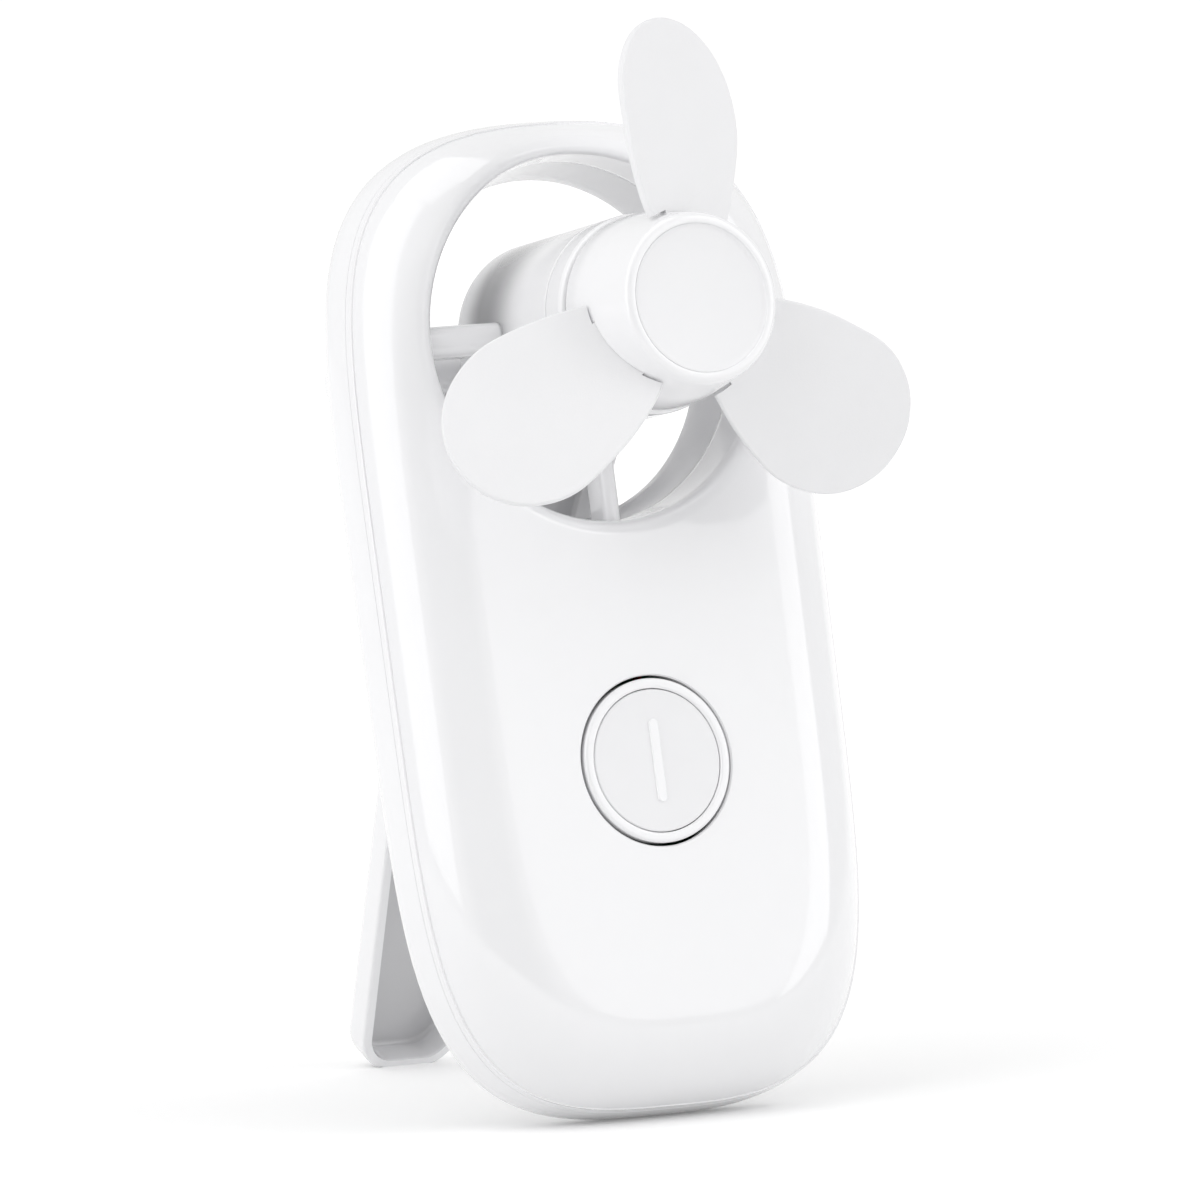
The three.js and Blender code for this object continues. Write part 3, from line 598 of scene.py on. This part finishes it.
def worked(shape, tools, operation):
    """The shape with each closed tool cut away, joined on or kept to."""
    whole = loose_object(shape)
    helpers = [loose_object(tool) for tool in tools]
    for helper in helpers:
        step = whole.modifiers.new("work", "BOOLEAN")
        step.operation = operation
        step.solver = "EXACT"
        step.object = helper
    ready = whole.evaluated_get(bpy.context.evaluated_depsgraph_get())
    result = bmesh.new()
    result.from_mesh(ready.to_mesh())
    ready.to_mesh_clear()
    for used in [whole, *helpers]:
        mesh = used.data
        bpy.data.objects.remove(used)
        bpy.data.meshes.remove(mesh)
    return result


def carved(shape, *tools):
    return worked(shape, tools, "DIFFERENCE")


def fused(shape, *tools):
    return worked(shape, tools, "UNION")


def finished(name, shape, material, body, slot, *nodes, place=STANDING):
    """Sets a shape in its place as a piece that rides on a body and stands for its nodes."""
    bmesh.ops.transform(shape, matrix=place, verts=shape.verts[:])
    piece = loose_object(shape, name)
    piece.data.name = name
    piece.data.shade_smooth()
    piece.data.set_sharp_from_angle(angle=SMOOTH)
    weighted = piece.modifiers.new("even_shading", "WEIGHTED_NORMAL")
    weighted.keep_sharp = True
    piece.data.materials.append(material)
    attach(piece, body)
    if nodes:
        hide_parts(*nodes)


# ---- The body's outline and skins ----


def outside_by(x, z, inset):
    """Above 0 outside the outline drawn in by an inset, below 0 inside it."""
    rise = (z - BODY["centre"]) / (BODY["half_length"] - inset)
    side, end = TOP_CURVE if rise >= 0 else BOTTOM_CURVE
    reach = x / ((BODY["half_width"] - inset) * (1 + SKEW * rise))
    return abs(reach) ** side + abs(rise) ** end - 1


HALVINGS = 34


def halving(test, low, high):
    """Where test turns from below 0 to above 0."""
    for _ in range(HALVINGS):
        middle = (low + high) / 2
        if test(middle) < 0:
            low = middle
        else:
            high = middle
    return (low + high) / 2


def outline_reach(angle, inset=0.0):
    """Distance of the outline from the rotor's axis, at an angle from straight up."""
    sine, cosine = math.sin(angle), math.cos(angle)
    return halving(lambda r: outside_by(r * sine, r * cosine, inset), 0, 120)


def crown_depth(angle, reach):
    """Depth of the crowned front at a distance from the rotor's axis."""
    x, z = reach * math.sin(angle), reach * math.cos(angle)
    if outside_by(x, z, CROWN) < 0:
        return 0.0
    inset = halving(lambda i: outside_by(x, z, i), 0, CROWN)
    return CROWN - math.sqrt(max(0.0, CROWN**2 - (CROWN - inset) ** 2))


def crown_reach(angle, depth):
    """Distance of the crown from the rotor's axis where it has reached a depth."""
    return outline_reach(angle, CROWN - math.sqrt(CROWN**2 - (CROWN - depth) ** 2))


def skin_of(rings):
    """A skin round the rotor's axis. rings(angle) gives its (reach, depth) points, ring by ring."""
    shape = bmesh.new()
    verts = bmesh.ops.create_circle(shape, segments=COLUMNS, radius=1)["verts"]
    edges = shape.edges[:]
    columns = {}
    for vert in verts:
        angle = math.atan2(vert.co.x, vert.co.y)
        columns[round(angle, 5)] = rings(angle)
    count = len(next(iter(columns.values())))
    for vert in verts:
        angle = round(math.atan2(vert.co.x, vert.co.y), 5)
        reach, depth = columns[angle][0]
        vert.co = (reach * math.sin(angle), depth, reach * math.cos(angle))
    for ring in range(1, count):
        made = bmesh.ops.extrude_edge_only(shape, edges=edges)["geom"]
        verts = [part for part in made if isinstance(part, bmesh.types.BMVert)]
        fresh = set(verts)
        edges = [
            part for part in made
            if isinstance(part, bmesh.types.BMEdge) and set(part.verts) <= fresh
        ]
        for vert in verts:
            found = round(math.atan2(vert.co.x, vert.co.z), 5)
            column = columns.get(found) or columns[min(columns, key=lambda a: abs(a - found))]
            reach, depth = column[ring]
            angle = math.atan2(vert.co.x, vert.co.z)
            vert.co = (reach * math.sin(angle), depth, reach * math.cos(angle))
    bmesh.ops.recalc_face_normals(shape, faces=shape.faces[:])
    return shape


def with_wall(shape, looks, thickness):
    """Gives a skin its thickness on its inner side. looks is the way along the depth, 1 or -1,
    in which its flat front or back faces outwards."""
    flat = max(shape.faces, key=lambda face: abs(face.normal.y) * face.calc_area())
    if flat.normal.y * looks < 0:
        bmesh.ops.reverse_faces(shape, faces=shape.faces[:])
    bmesh.ops.solidify(shape, geom=shape.faces[:], thickness=thickness)
    return shape


def tunnel_reach(angle, depth):
    """Distance of the tunnel's wall from the rotor's axis: it narrows towards the back."""
    if depth < PARTING:
        radius = TUNNEL["radius"] + (TUNNEL["seam"] - TUNNEL["radius"]) * depth / PARTING
    else:
        share = (depth - PARTING) / (BODY["depth"] - PARTING)
        radius = TUNNEL["seam"] + (TUNNEL["back"] - TUNNEL["seam"]) * share
    low = TUNNEL["height"]
    return low * math.cos(angle) + math.sqrt(radius**2 - (low * math.sin(angle)) ** 2)


def tunnel_edge(reach, depth, way):
    """The softened edge of a shell's tunnel wall at the seam. way is 1 towards the back."""
    full, bulge = TUNNEL_EDGE["round"], TUNNEL_EDGE["bulge"]
    middle = (reach + bulge, depth + way * bulge)
    return [(reach + full, depth), middle, (reach, depth + way * full)]


def seam_edge(reach, depth):
    """The broken edge of a shell at the parting line, and the land behind it."""
    return [(reach - SEAM_EDGE["in"], depth), (reach - SEAM_EDGE["land"], depth)]


def front_rings(angle):
    """From the tunnel's seam over its rolled rim and the crown to the parting line."""
    rim, radius = TUNNEL["rim"], tunnel_reach(angle, 0)
    lip = radius + rim
    corner = Vector((radius, crown_depth(angle, radius), 0))
    on_face = Vector((lip, crown_depth(angle, lip), 0))
    on_wall = corner + Vector((0, rim, 0))
    rings = tunnel_edge(tunnel_reach(angle, PARTING), PARTING, -1)
    rings.append((tunnel_reach(angle, PARTING - 1), PARTING - 1))
    pulls = on_wall.lerp(corner, 0.6), on_face.lerp(corner, 0.6)
    rolled = interpolate_bezier(on_wall, *pulls, on_face, 7)
    rings += [(point.x, point.y) for point in rolled]
    outer = crown_reach(angle, PARTING - SEAM_EDGE["up"])
    for row in range(1, CROWN_ROWS + 1):
        share = 1 - row / CROWN_ROWS
        reach = outer - (outer - lip) * share**2
        rings.append((reach, crown_depth(angle, reach)))
    return rings + seam_edge(outer, PARTING)


def rear_rings(angle):
    """From the tunnel's seam over its back rim and the flat back to the parting line."""
    rim, depth, start = TUNNEL["back_rim"], BODY["depth"], PARTING + SEAM
    radius = tunnel_reach(angle, depth)
    rings = tunnel_edge(tunnel_reach(angle, start), start, 1)
    rings.append((tunnel_reach(angle, depth - rim - 1), depth - rim - 1))
    for step in range(RIM_STEPS + 1):
        turn = QUARTER * step / RIM_STEPS
        rings.append((radius + rim * (1 - math.cos(turn)), depth - rim * (1 - math.sin(turn))))
    inner = outline_reach(angle, REAR_EDGE)
    lip = radius + rim
    for row in range(1, BACK_ROWS + 1):
        rings.append((lip + (inner - lip) * row / BACK_ROWS, depth))
    for step in range(1, EDGE_STEPS + 1):
        turn = QUARTER * (1 - step / EDGE_STEPS)
        reach = outline_reach(angle, REAR_EDGE * (1 - math.cos(turn)))
        rings.append((reach, depth - REAR_EDGE + REAR_EDGE * math.sin(turn)))
    for side_depth in (CROWN, *SIDE_DEPTHS, start + SEAM_EDGE["up"]):
        rings.append((crown_reach(angle, side_depth), side_depth))
    return rings + seam_edge(rings[-1][0], start)


def front_shell(material):
    shell = with_wall(skin_of(front_rings), -1, SKIN)
    hole, bevel, end = BUTTON["hole"], BUTTON["hole_bevel"], BUTTON["hole_end"]
    bore = turned([
        (0, -CLEAR), (hole + 5 * bevel, -CLEAR), (hole + bevel, 0), (hole, BUTTON["hole_edge"]),
        (hole, end), (0, end),
    ])
    moved(bore, Matrix.Translation((0, 0, BUTTON["height"])))
    finished("front_shell", carved(shell, bore), material, "case", "gloss_white", "front_shell")


def door_outline(grow, travel=0.0):
    return rounded_rectangle(
        DOOR["half_width"] + grow, DOOR["bottom"] - grow - travel, DOOR["top"] + grow,
        DOOR["corner"] + grow,
    )


def hinge_lug(side):
    """An ear that carries one end of the leg's pin."""
    back, height, barrel = HINGE["back"], HINGE["height"], HINGE["barrel"]
    foot = BODY["depth"] - LUG["root"]
    profile = [(foot, height - barrel), *arc(back, height, barrel, -QUARTER, QUARTER, 16)]
    profile += [(foot, height + barrel + 1)]
    shape = bmesh.new()
    face = shape.faces.new([shape.verts.new((LUG["near"], y, z)) for y, z in profile])
    made = bmesh.ops.extrude_face_region(shape, geom=[face])["geom"]
    far = [part for part in made if isinstance(part, bmesh.types.BMVert)]
    bmesh.ops.translate(shape, verts=far, vec=(LUG["far"] - LUG["near"], 0, 0))
    if side < 0:
        bmesh.ops.scale(shape, vec=(-1, 1, 1), verts=shape.verts[:])
    bmesh.ops.recalc_face_normals(shape, faces=shape.faces[:])
    return softened(shape, LUG["edge"])


def rear_shell(material):
    depth, head = BODY["depth"], SCREW["head"]
    shell = with_wall(skin_of(rear_rings), 1, SKIN)
    front, back = depth - THROUGH, depth + CLEAR
    window = slab(door_outline(GAP, DOOR["travel"]), front, back)
    seats = [rod(head + SCREW["gap"], front, back, x, z) for x, z in SCREW_PLACES]
    shell = carved(shell, window, *seats)
    half, low = DOOR["half_width"] - LEDGE["aside"], DOOR["bottom"] - GAP - DOOR["travel"]
    ledge = brick(
        (-half, depth - LEDGE["front"], low - LEDGE["under"]),
        (half, depth - DOOR["depth"] - GAP, DOOR["bottom"] + LEDGE["over"]),
    )
    front, back = depth - CUP["front"], depth - CUP["back"]
    cups = [rod(head + CUP["wall"], front, back, x, z) for x, z in SCREW_PLACES]
    shell = fused(shell, ledge, *cups, hinge_lug(1), hinge_lug(-1))
    shell = carved(shell, hinge_bar(HINGE["pin"], HINGE["bore_half"]))
    finished("rear_shell", shell, material, "case", "gloss_white", "rear_shell")


def battery_door(material):
    depth = BODY["depth"]
    panel = slab(door_outline(0), depth - DOOR["depth"], depth - DOOR["sunk"])
    grips = []
    for i in range(GRIP["count"]):
        height = DOOR["bottom"] + GRIP["up"] + GRIP["pitch"] * i
        half = GRIP["half"] - GRIP["shorter"] * i
        groove = rounded_rectangle(half, height, height + GRIP["width"], GRIP["corner"], 4)
        grips.append(slab(groove, depth - GRIP["deep"], depth + CLEAR))
    panel = softened(carved(panel, *grips), DOOR["edge"], 2)
    finished("battery_door", panel, material, "door", "gloss_white", "battery_door")


# ---- Motor pod and its arms ----


def pod_arm(turn, width, extra):
    """A rounded bar from the pod into the tunnel's wall, drawn upwards and then turned."""
    half = width / 2
    bar = brick((-half, ARM["front"], ARM["inner"]), (half, ARM["back"], ARM["end"] + extra))
    rounding = min(ARM["round"], half - 0.1)
    softened(bar, rounding, 6, where=lambda e: abs((e.verts[0].co - e.verts[1].co).z) > 5)
    return moved(bar, Matrix.Rotation(turn, 4, "Y"))


def motor_frame(material):
    radius, back, edge, wall = POD["radius"], POD["back"], POD["edge"], POD["wall"]
    inner = radius - wall
    profile = smooth_profile([
        (inner, POD["split"], 0), (radius, POD["split"], 0.2), (radius, back, edge),
        (POD["back_hole"], back, 0.4), (POD["back_bore"], back - wall, 0),
        (inner, back - wall, edge - wall),
    ], 12)
    arms = [pod_arm(*arm) for arm in ARMS]
    whole = fused(turned(profile, ROUND_SIDES), *arms)
    finished("motor_pod_and_arms", whole, material, "case", "gloss_white", "motor_frame")


def pod_front(material):
    radius, face, wall, hole = POD["radius"], POD["front"], POD["wall"], POD["front_hole"]
    back = POD["split"] - POD["line"]
    profile = smooth_profile([
        (hole, face, 0), (radius, face, 0.8), (radius, back, 0.2), (radius - wall, back, 0),
        (radius - wall, face + wall, 0), (hole, face + wall, 0),
    ])
    finished("pod_front", turned(profile, ROUND_SIDES), material, "case", "gloss_white", "pod_front")


# ---- Rotor ----


def hub_outside(grow):
    """The hub's outside, closed to the axis."""
    face, back = HUB["face"] - grow, HUB["back"] + grow
    small, large = HUB["face_radius"] + grow, HUB["back_radius"] + grow
    return [
        (0, face, 0), (small, face, 1.0), (small + HUB["swell"], face + HUB["shoulder"], 2.0),
        (large, face + HUB["flare"], 2.4), (large, back, 0.35), (0, back, 0),
    ]


def blade_place(turn):
    """Where a paddle drawn flat and square on sits in the rotor."""
    pitch = Matrix.Translation((0, BLADE["middle"], 0)) @ Matrix.Rotation(BLADE["pitch"], 4, "Z")
    return Matrix.Rotation(turn, 4, "Y") @ pitch


def blade_tab(turn, grow):
    """The tongue that holds a paddle in the hub."""
    half, thick = BLADE["tab_half"] + grow, BLADE["thickness"] / 2 + grow
    tab = brick((-half, -thick, BLADE["tab_start"] - grow), (half, thick, BLADE["tab_end"]))
    return moved(tab, blade_place(turn) @ Matrix.Rotation(BLADE["tab_turn"], 4, "Y"))


def rotor_hub(material):
    face, back, wall = HUB["face"], HUB["back"], HUB["wall"]
    small, large = HUB["face_radius"], HUB["back_radius"]
    bore, boss, boss_back = HUB["bore"], HUB["boss"], back - HUB["boss_back"]
    shoulder, flare = face + HUB["shoulder"], face + HUB["flare"]
    lip = HUB_CAP["radius"] - HUB_CAP["press"]
    floor = HUB_CAP["front"] + HUB_CAP["thickness"] + GAP
    under = floor + wall
    profile = smooth_profile([
        (bore, floor, 0), (lip, floor, 0), (lip, face, 0.35), (small, face, 0.7),
        (small + HUB["swell"], shoulder, 2.0), (large, flare, 2.4), (large, back, 0.35),
        (large - wall, back, 0.3), (large - wall, flare, 0), (small - 1, under, 0),
        (boss, under, 0), (boss, boss_back, 0), (bore, boss_back, 0),
    ], 7)
    slots = [blade_tab(turn, BLADE["tab_gap"]) for turn in BLADE_TURNS]
    whole = carved(turned(profile, ROUND_SIDES), *slots)
    finished("rotor_hub", whole, material, "rotor", "gloss_white", "rotor_hub")


def hub_cap(material):
    radius, face = HUB_CAP["radius"], HUB_CAP["front"]
    back, dish = face + HUB_CAP["thickness"], HUB_CAP["dish"]
    profile = [(0, back), (radius, back)]
    profile += [(radius - inwards, face - ahead) for inwards, ahead in CAP_EDGE]
    profile += [(radius * share, face + dish * sunk) for share, sunk in CAP_DISH]
    whole = turned(profile, ROUND_SIDES, closed=False)
    finished("hub_cap", whole, material, "rotor", "satin_white", "hub_cap")


def blade_outline():
    """The paddle's edge as a smooth run through its measured points."""
    knots = [Vector((x, z, 0)) for x, z in BLADE_EDGE]
    points = []
    for i in range(len(knots) - 1):
        before = knots[max(i - 1, 0)]
        after = knots[min(i + 2, len(knots) - 1)]
        start, end = knots[i], knots[i + 1]
        run = interpolate_bezier(
            start, start + (end - before) / 6, end - (after - start) / 6, end, 9
        )
        points += [(point.x, point.y) for point in run[:-1]]
    return [*points, BLADE_EDGE[-1]]


def blade(number, turn, material):
    half = BLADE["thickness"] / 2
    paddle = softened(slab(blade_outline(), -half, half), BLADE["edge"], 3)
    moved(paddle, blade_place(turn))
    clear = turned(smooth_profile(hub_outside(BLADE["hub_gap"])), ROUND_SIDES, closed=False)
    whole = fused(carved(paddle, clear), blade_tab(turn, 0))
    name = f"blade_{number}"
    finished(name, whole, material, "rotor", "pale_grey_soft", name)


# ---- Button ----


def button_ring(material):
    ring, line = BUTTON["ring"], BUTTON["line"]
    face, deep = BUTTON["front"] - BUTTON["ring_rise"], BUTTON["deep"]
    corners = [(line, face, 0.3), (ring, face, 0.4), (ring, deep, 0), (line, deep, 0)]
    profile = smooth_profile(corners, 6)
    whole = moved(turned(profile, ROUND_SIDES), Matrix.Translation((0, 0, BUTTON["height"])))
    finished("button_ring", whole, material, "button", "gloss_white", "button_ring")


def button_cap(material):
    cap, face, deep, height = BUTTON["cap"], BUTTON["front"], BUTTON["deep"], BUTTON["height"]
    profile = smooth_profile([(0, face, 0), (cap, face, 0.22), (cap, deep, 0), (0, deep, 0)])
    disc = moved(turned(profile, ROUND_SIDES, closed=False), Matrix.Translation((0, 0, height)))
    half, reach = BUTTON["mark_width"] / 2, BUTTON["mark_half"]
    mark = rounded_rectangle(half, height - reach, height + reach, half - 0.01, 8)
    bar = slab(mark, face - BUTTON["mark_rise"], face + BUTTON["mark_root"])
    softened(bar, BUTTON["mark_edge"], 3, where=lambda e: max(v.co.y for v in e.verts) < face)
    stem = rod(BUTTON["stem"], BUTTON["stem_start"], BUTTON["stem_end"], 0, height, 32)
    finished("button_cap", fused(disc, bar, stem), material, "button", "button_grey", "button_cap")


# ---- Folding leg ----


def leg_outline(inset):
    top = HINGE["height"] - LEG["start"] - inset
    bottom = HINGE["height"] - LEG_LENGTH + inset
    wide = LEG["top_half"] - LEG_TAPER * LEG["start"] - inset
    narrow = LEG["foot_half"] - inset
    corner = LEG["corner"] - inset
    left = arc(-narrow + corner, bottom + corner, corner, math.pi, 1.5 * math.pi, 12)
    right = arc(narrow - corner, bottom + corner, corner, -QUARTER, 0, 12)
    return [(-wide, top), *left, *right, (wide, top)]


def leg_pan():
    """The leg as a shallow tray that opens towards the case."""
    rim, outside = LEG["rim"], LEG["rim"] + LEG["depth"]
    pan = slab(leg_outline(0), rim, outside)
    softened(pan, LEG["back_round"], 8, where=lambda e: min(v.co.y for v in e.verts) > rim + 1)
    softened(pan, LEG["rim_round"], 3, where=lambda e: max(v.co.y for v in e.verts) < rim + 1)
    hollow = slab(leg_outline(LEG["wall"]), rim - CLEAR, outside - LEG["floor"])
    softened(hollow, LEG["hollow_round"], 4, where=lambda e: min(v.co.y for v in e.verts) > rim)
    return carved(pan, hollow)


def clip_leg(material):
    """The tray with its barrel on the pin, swung open and cut flat where its foot stands."""
    barrel = softened(hinge_bar(HINGE["barrel"], HINGE["half"]), HINGE["edge"])
    bore = hinge_bar(HINGE["pin"], HINGE["bore_half"])
    standing = moved(carved(fused(leg_pan(), barrel), bore), FOLDED_OUT)
    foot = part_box("clip_leg")[0]
    cut = bmesh.ops.bisect_plane(
        standing, geom=standing.verts[:] + standing.edges[:] + standing.faces[:],
        plane_co=(0, 0, foot.z), plane_no=(0, 0, -1), clear_outer=True,
    )["geom_cut"]
    edges = [part for part in cut if isinstance(part, bmesh.types.BMEdge)]
    if edges:
        bmesh.ops.holes_fill(standing, edges=edges)
    finished(
        "clip_leg", standing, material, "leg", "gloss_white", "clip_leg", place=Matrix.Identity(4)
    )


# ---- Screws ----


def case_screw(number, x, z, material):
    """A small domed screw with a cross recess."""
    depth, head, shank = BODY["depth"], SCREW["head"], SCREW["shank"]
    under, top = depth - SCREW["thick"], depth - SCREW["sunk"]
    profile = smooth_profile([
        (0, SCREW["tip"], 0), (shank, SCREW["tip"], 0.2), (shank, under, 0), (head, under, 0.1),
        (head, top, 0.35), (0, top, 0),
    ])
    turned_screw = moved(turned(profile, 48, closed=False), Matrix.Translation((x, 0, z)))
    long, short = SCREW["slot_half"], SCREW["slot_width"] / 2
    low, high = depth - SCREW["slot_deep"], depth + CLEAR
    across = brick((x - long, low, z - short), (x + long, high, z + short))
    along = brick((x - short, low, z - long), (x + short, high, z + long))
    name = f"case_screw_{number}"
    finished(name, carved(turned_screw, across, along), material, "case", "steel", name)


# ---- Studio ----

PURE_WHITE = (1, 1, 1, 1)
FLOOR_HALF = 12  # metres
FLOOR_LEVEL = 0.9
FLOOR_LIFT = {"From Min": 0.1, "From Max": 0.8, "To Min": 0.15, "To Max": 0.28}


def lay_floor():
    """A wide pale floor that keeps the fan's shadow. For the camera and in reflections it is
    lifted to white, by more light the further from the fan, as FLOOR_LIFT says in metres."""
    shape = bmesh.new()
    bmesh.ops.create_grid(shape, x_segments=1, y_segments=1, size=FLOOR_HALF)
    floor = loose_object(shape, "floor")
    material = bpy.data.materials.new("floor_paper")
    material.use_nodes = True
    tree = material.node_tree
    tree.nodes.clear()
    place = add_node(tree, "ShaderNodeTexCoord").outputs["Object"]
    away = add_node(tree, "ShaderNodeVectorMath", {"operation": "LENGTH"}, {0: place})
    reach = {"Value": away.outputs["Value"], **FLOOR_LIFT}
    light = add_node(tree, "ShaderNodeMapRange", {}, reach).outputs["Result"]
    path = add_node(tree, "ShaderNodeLightPath").outputs
    seen = add_math(tree, "MAXIMUM", path["Is Camera Ray"], path["Is Glossy Ray"])
    glow = {"Color": PURE_WHITE, "Strength": add_math(tree, "MULTIPLY", seen, light)}
    lift = add_node(tree, "ShaderNodeEmission", {}, glow).outputs[0]
    paper = {"Color": white(FLOOR_LEVEL, 0)}
    plain = add_node(tree, "ShaderNodeBsdfDiffuse", {}, paper).outputs[0]
    both = add_node(tree, "ShaderNodeAddShader", {}, {0: plain, 1: lift}).outputs[0]
    add_node(tree, "ShaderNodeOutputMaterial", {}, {"Surface": both})
    floor.data.materials.append(material)


WORLD_LEVEL = 0.857
DARK_SIDE = {"at": (-18, 10), "reach": 36, "core": 0.6, "share": 0.565}  # at, reach in degrees


def light_world():
    """Even pale light from all round, darker on the photographer's side, and white where the
    camera sees it."""
    world = bpy.data.worlds.new("studio")
    bpy.context.scene.world = world
    world.use_nodes = True
    tree = world.node_tree
    tree.nodes.clear()
    way = add_node(tree, "ShaderNodeTexCoord").outputs["Generated"]
    middle = direction(*(math.radians(angle) for angle in DARK_SIDE["at"]))
    facing = add_node(
        tree, "ShaderNodeVectorMath", {"operation": "DOT_PRODUCT"}, {0: way, 1: middle}
    )
    reach = math.radians(DARK_SIDE["reach"])
    edges = {
        "Value": facing.outputs["Value"],
        "From Min": math.cos(reach),
        "From Max": math.cos(reach * DARK_SIDE["core"]),
    }
    smooth = {"interpolation_type": "SMOOTHSTEP"}
    dark = add_node(tree, "ShaderNodeMapRange", smooth, edges).outputs["Result"]
    fall = -WORLD_LEVEL * DARK_SIDE["share"]
    level = add_math(tree, "MULTIPLY_ADD", dark, fall, WORLD_LEVEL)
    seen = add_node(tree, "ShaderNodeLightPath").outputs["Is Camera Ray"]
    light = {"Color": PURE_WHITE, "Strength": add_math(tree, "MAXIMUM", level, seen)}
    sky = add_node(tree, "ShaderNodeBackground", {}, light).outputs[0]
    add_node(tree, "ShaderNodeOutputWorld", {}, {"Surface": sky})


LAMPS = [
    # name, azimuth from and to, elevation from and to, brightness
    ("left_softbox", (-92, -56), (0, 72), 1.14),
    ("right_softbox", (36, 62), (0, 45), 1.38),
    ("front_panel", (22, 36), (4, 32), 0.64),
    ("ceiling_panel", (-88, -52), (72, 104), 1.1),
]
SHINE_ONLY = ("ceiling_panel",)  # seen in the gloss and lighting nothing
LAMP_DISTANCE = 1.0
LAMP_TARGET = Vector((0, 0, 0.065))


def hang_lamp(name, azimuths, elevations, brightness):
    """A soft panel that fills those angles as seen from the fan."""
    data = bpy.data.lights.new(name, "AREA")
    data.shape = "RECTANGLE"
    halves = [math.radians(end - start) / 2 for start, end in (azimuths, elevations)]
    data.size, data.size_y = [2 * LAMP_DISTANCE * math.tan(half) for half in halves]
    data.energy = brightness * math.pi * data.size * data.size_y
    lamp = bpy.data.objects.new(name, data)
    bpy.context.scene.collection.objects.link(lamp)
    way = direction(*(math.radians(sum(angles) / 2) for angles in (azimuths, elevations)))
    lamp.location = LAMP_TARGET + way * LAMP_DISTANCE
    lamp.rotation_mode = "QUATERNION"
    lamp.rotation_quaternion = (-way).to_track_quat("-Z", "Y")
    lamp.visible_diffuse = name not in SHINE_ONLY


# ---- The fan ----

place_camera()
lay_floor()
light_world()
for lamp in LAMPS:
    hang_lamp(*lamp)
bpy.context.scene.view_settings.view_transform = "Standard"

case_white = moulded_white("gloss_case_white", 0.885, 0.13)
# the pod's colour carries painted shade towards its back
pod_white = moulded_white("pod_white", 0.89, 0.16, pod_painted_shade)
# the leg's hollow carries painted shade
leg_white = moulded_white("leg_white", 0.885, 0.16, leg_painted_shade, 0.42)
hub_white = moulded_white("hub_white", 0.885, 0.16)
ring_white = moulded_white("ring_white", 0.9, 0.1)
cap_white = satin_white("cap_satin", 0.87)
button_grey = satin_white("button_satin", 0.87, BUTTON["front"] - 0.02)
foam = soft_foam()
steel = turned_steel()
brass = plated_brass()
nylon = black_plastic()

front_shell(case_white)
rear_shell(case_white)
battery_door(case_white)
motor_frame(pod_white)
pod_front(pod_white)
rotor_hub(hub_white)
hub_cap(cap_white)
for number, turn in enumerate(BLADE_TURNS, 1):
    blade(number, turn, foam)
button_ring(ring_white)
button_cap(button_grey)
clip_leg(leg_white)
for number, (x, z) in enumerate(SCREW_PLACES, 1):
    case_screw(number, x, z, steel)

INSIDE = {
    steel: ["motor_can", "motor_shaft", "leg_pin"],
    nylon: ["motor_end_cap", "tact_switch"],
    board_mask(): ["circuit_board"],
    wire_skin("red_wire", (0.35, 0.02, 0.02, 1), (0.5, 0.04, 0.03, 1)): ["motor_wire_red"],
    wire_skin("black_wire", (0.01, 0.01, 0.01, 1), (0.03, 0.03, 0.03, 1)): ["motor_wire_black"],
}
SIDES = ("left", "right")
INSIDE[steel] += [f"{part}_{side}" for part in ("nub_contact", "cell_spring") for side in SIDES]
INSIDE[brass] = [f"motor_terminal_{side}" for side in SIDES]
INSIDE[cell_jacket()] = [f"battery_{side}" for side in SIDES]
for material, names in INSIDE.items():
    for name in names:
        mesh = frame["nodes"][name].data
        mesh.materials.clear()
        mesh.materials.append(material)
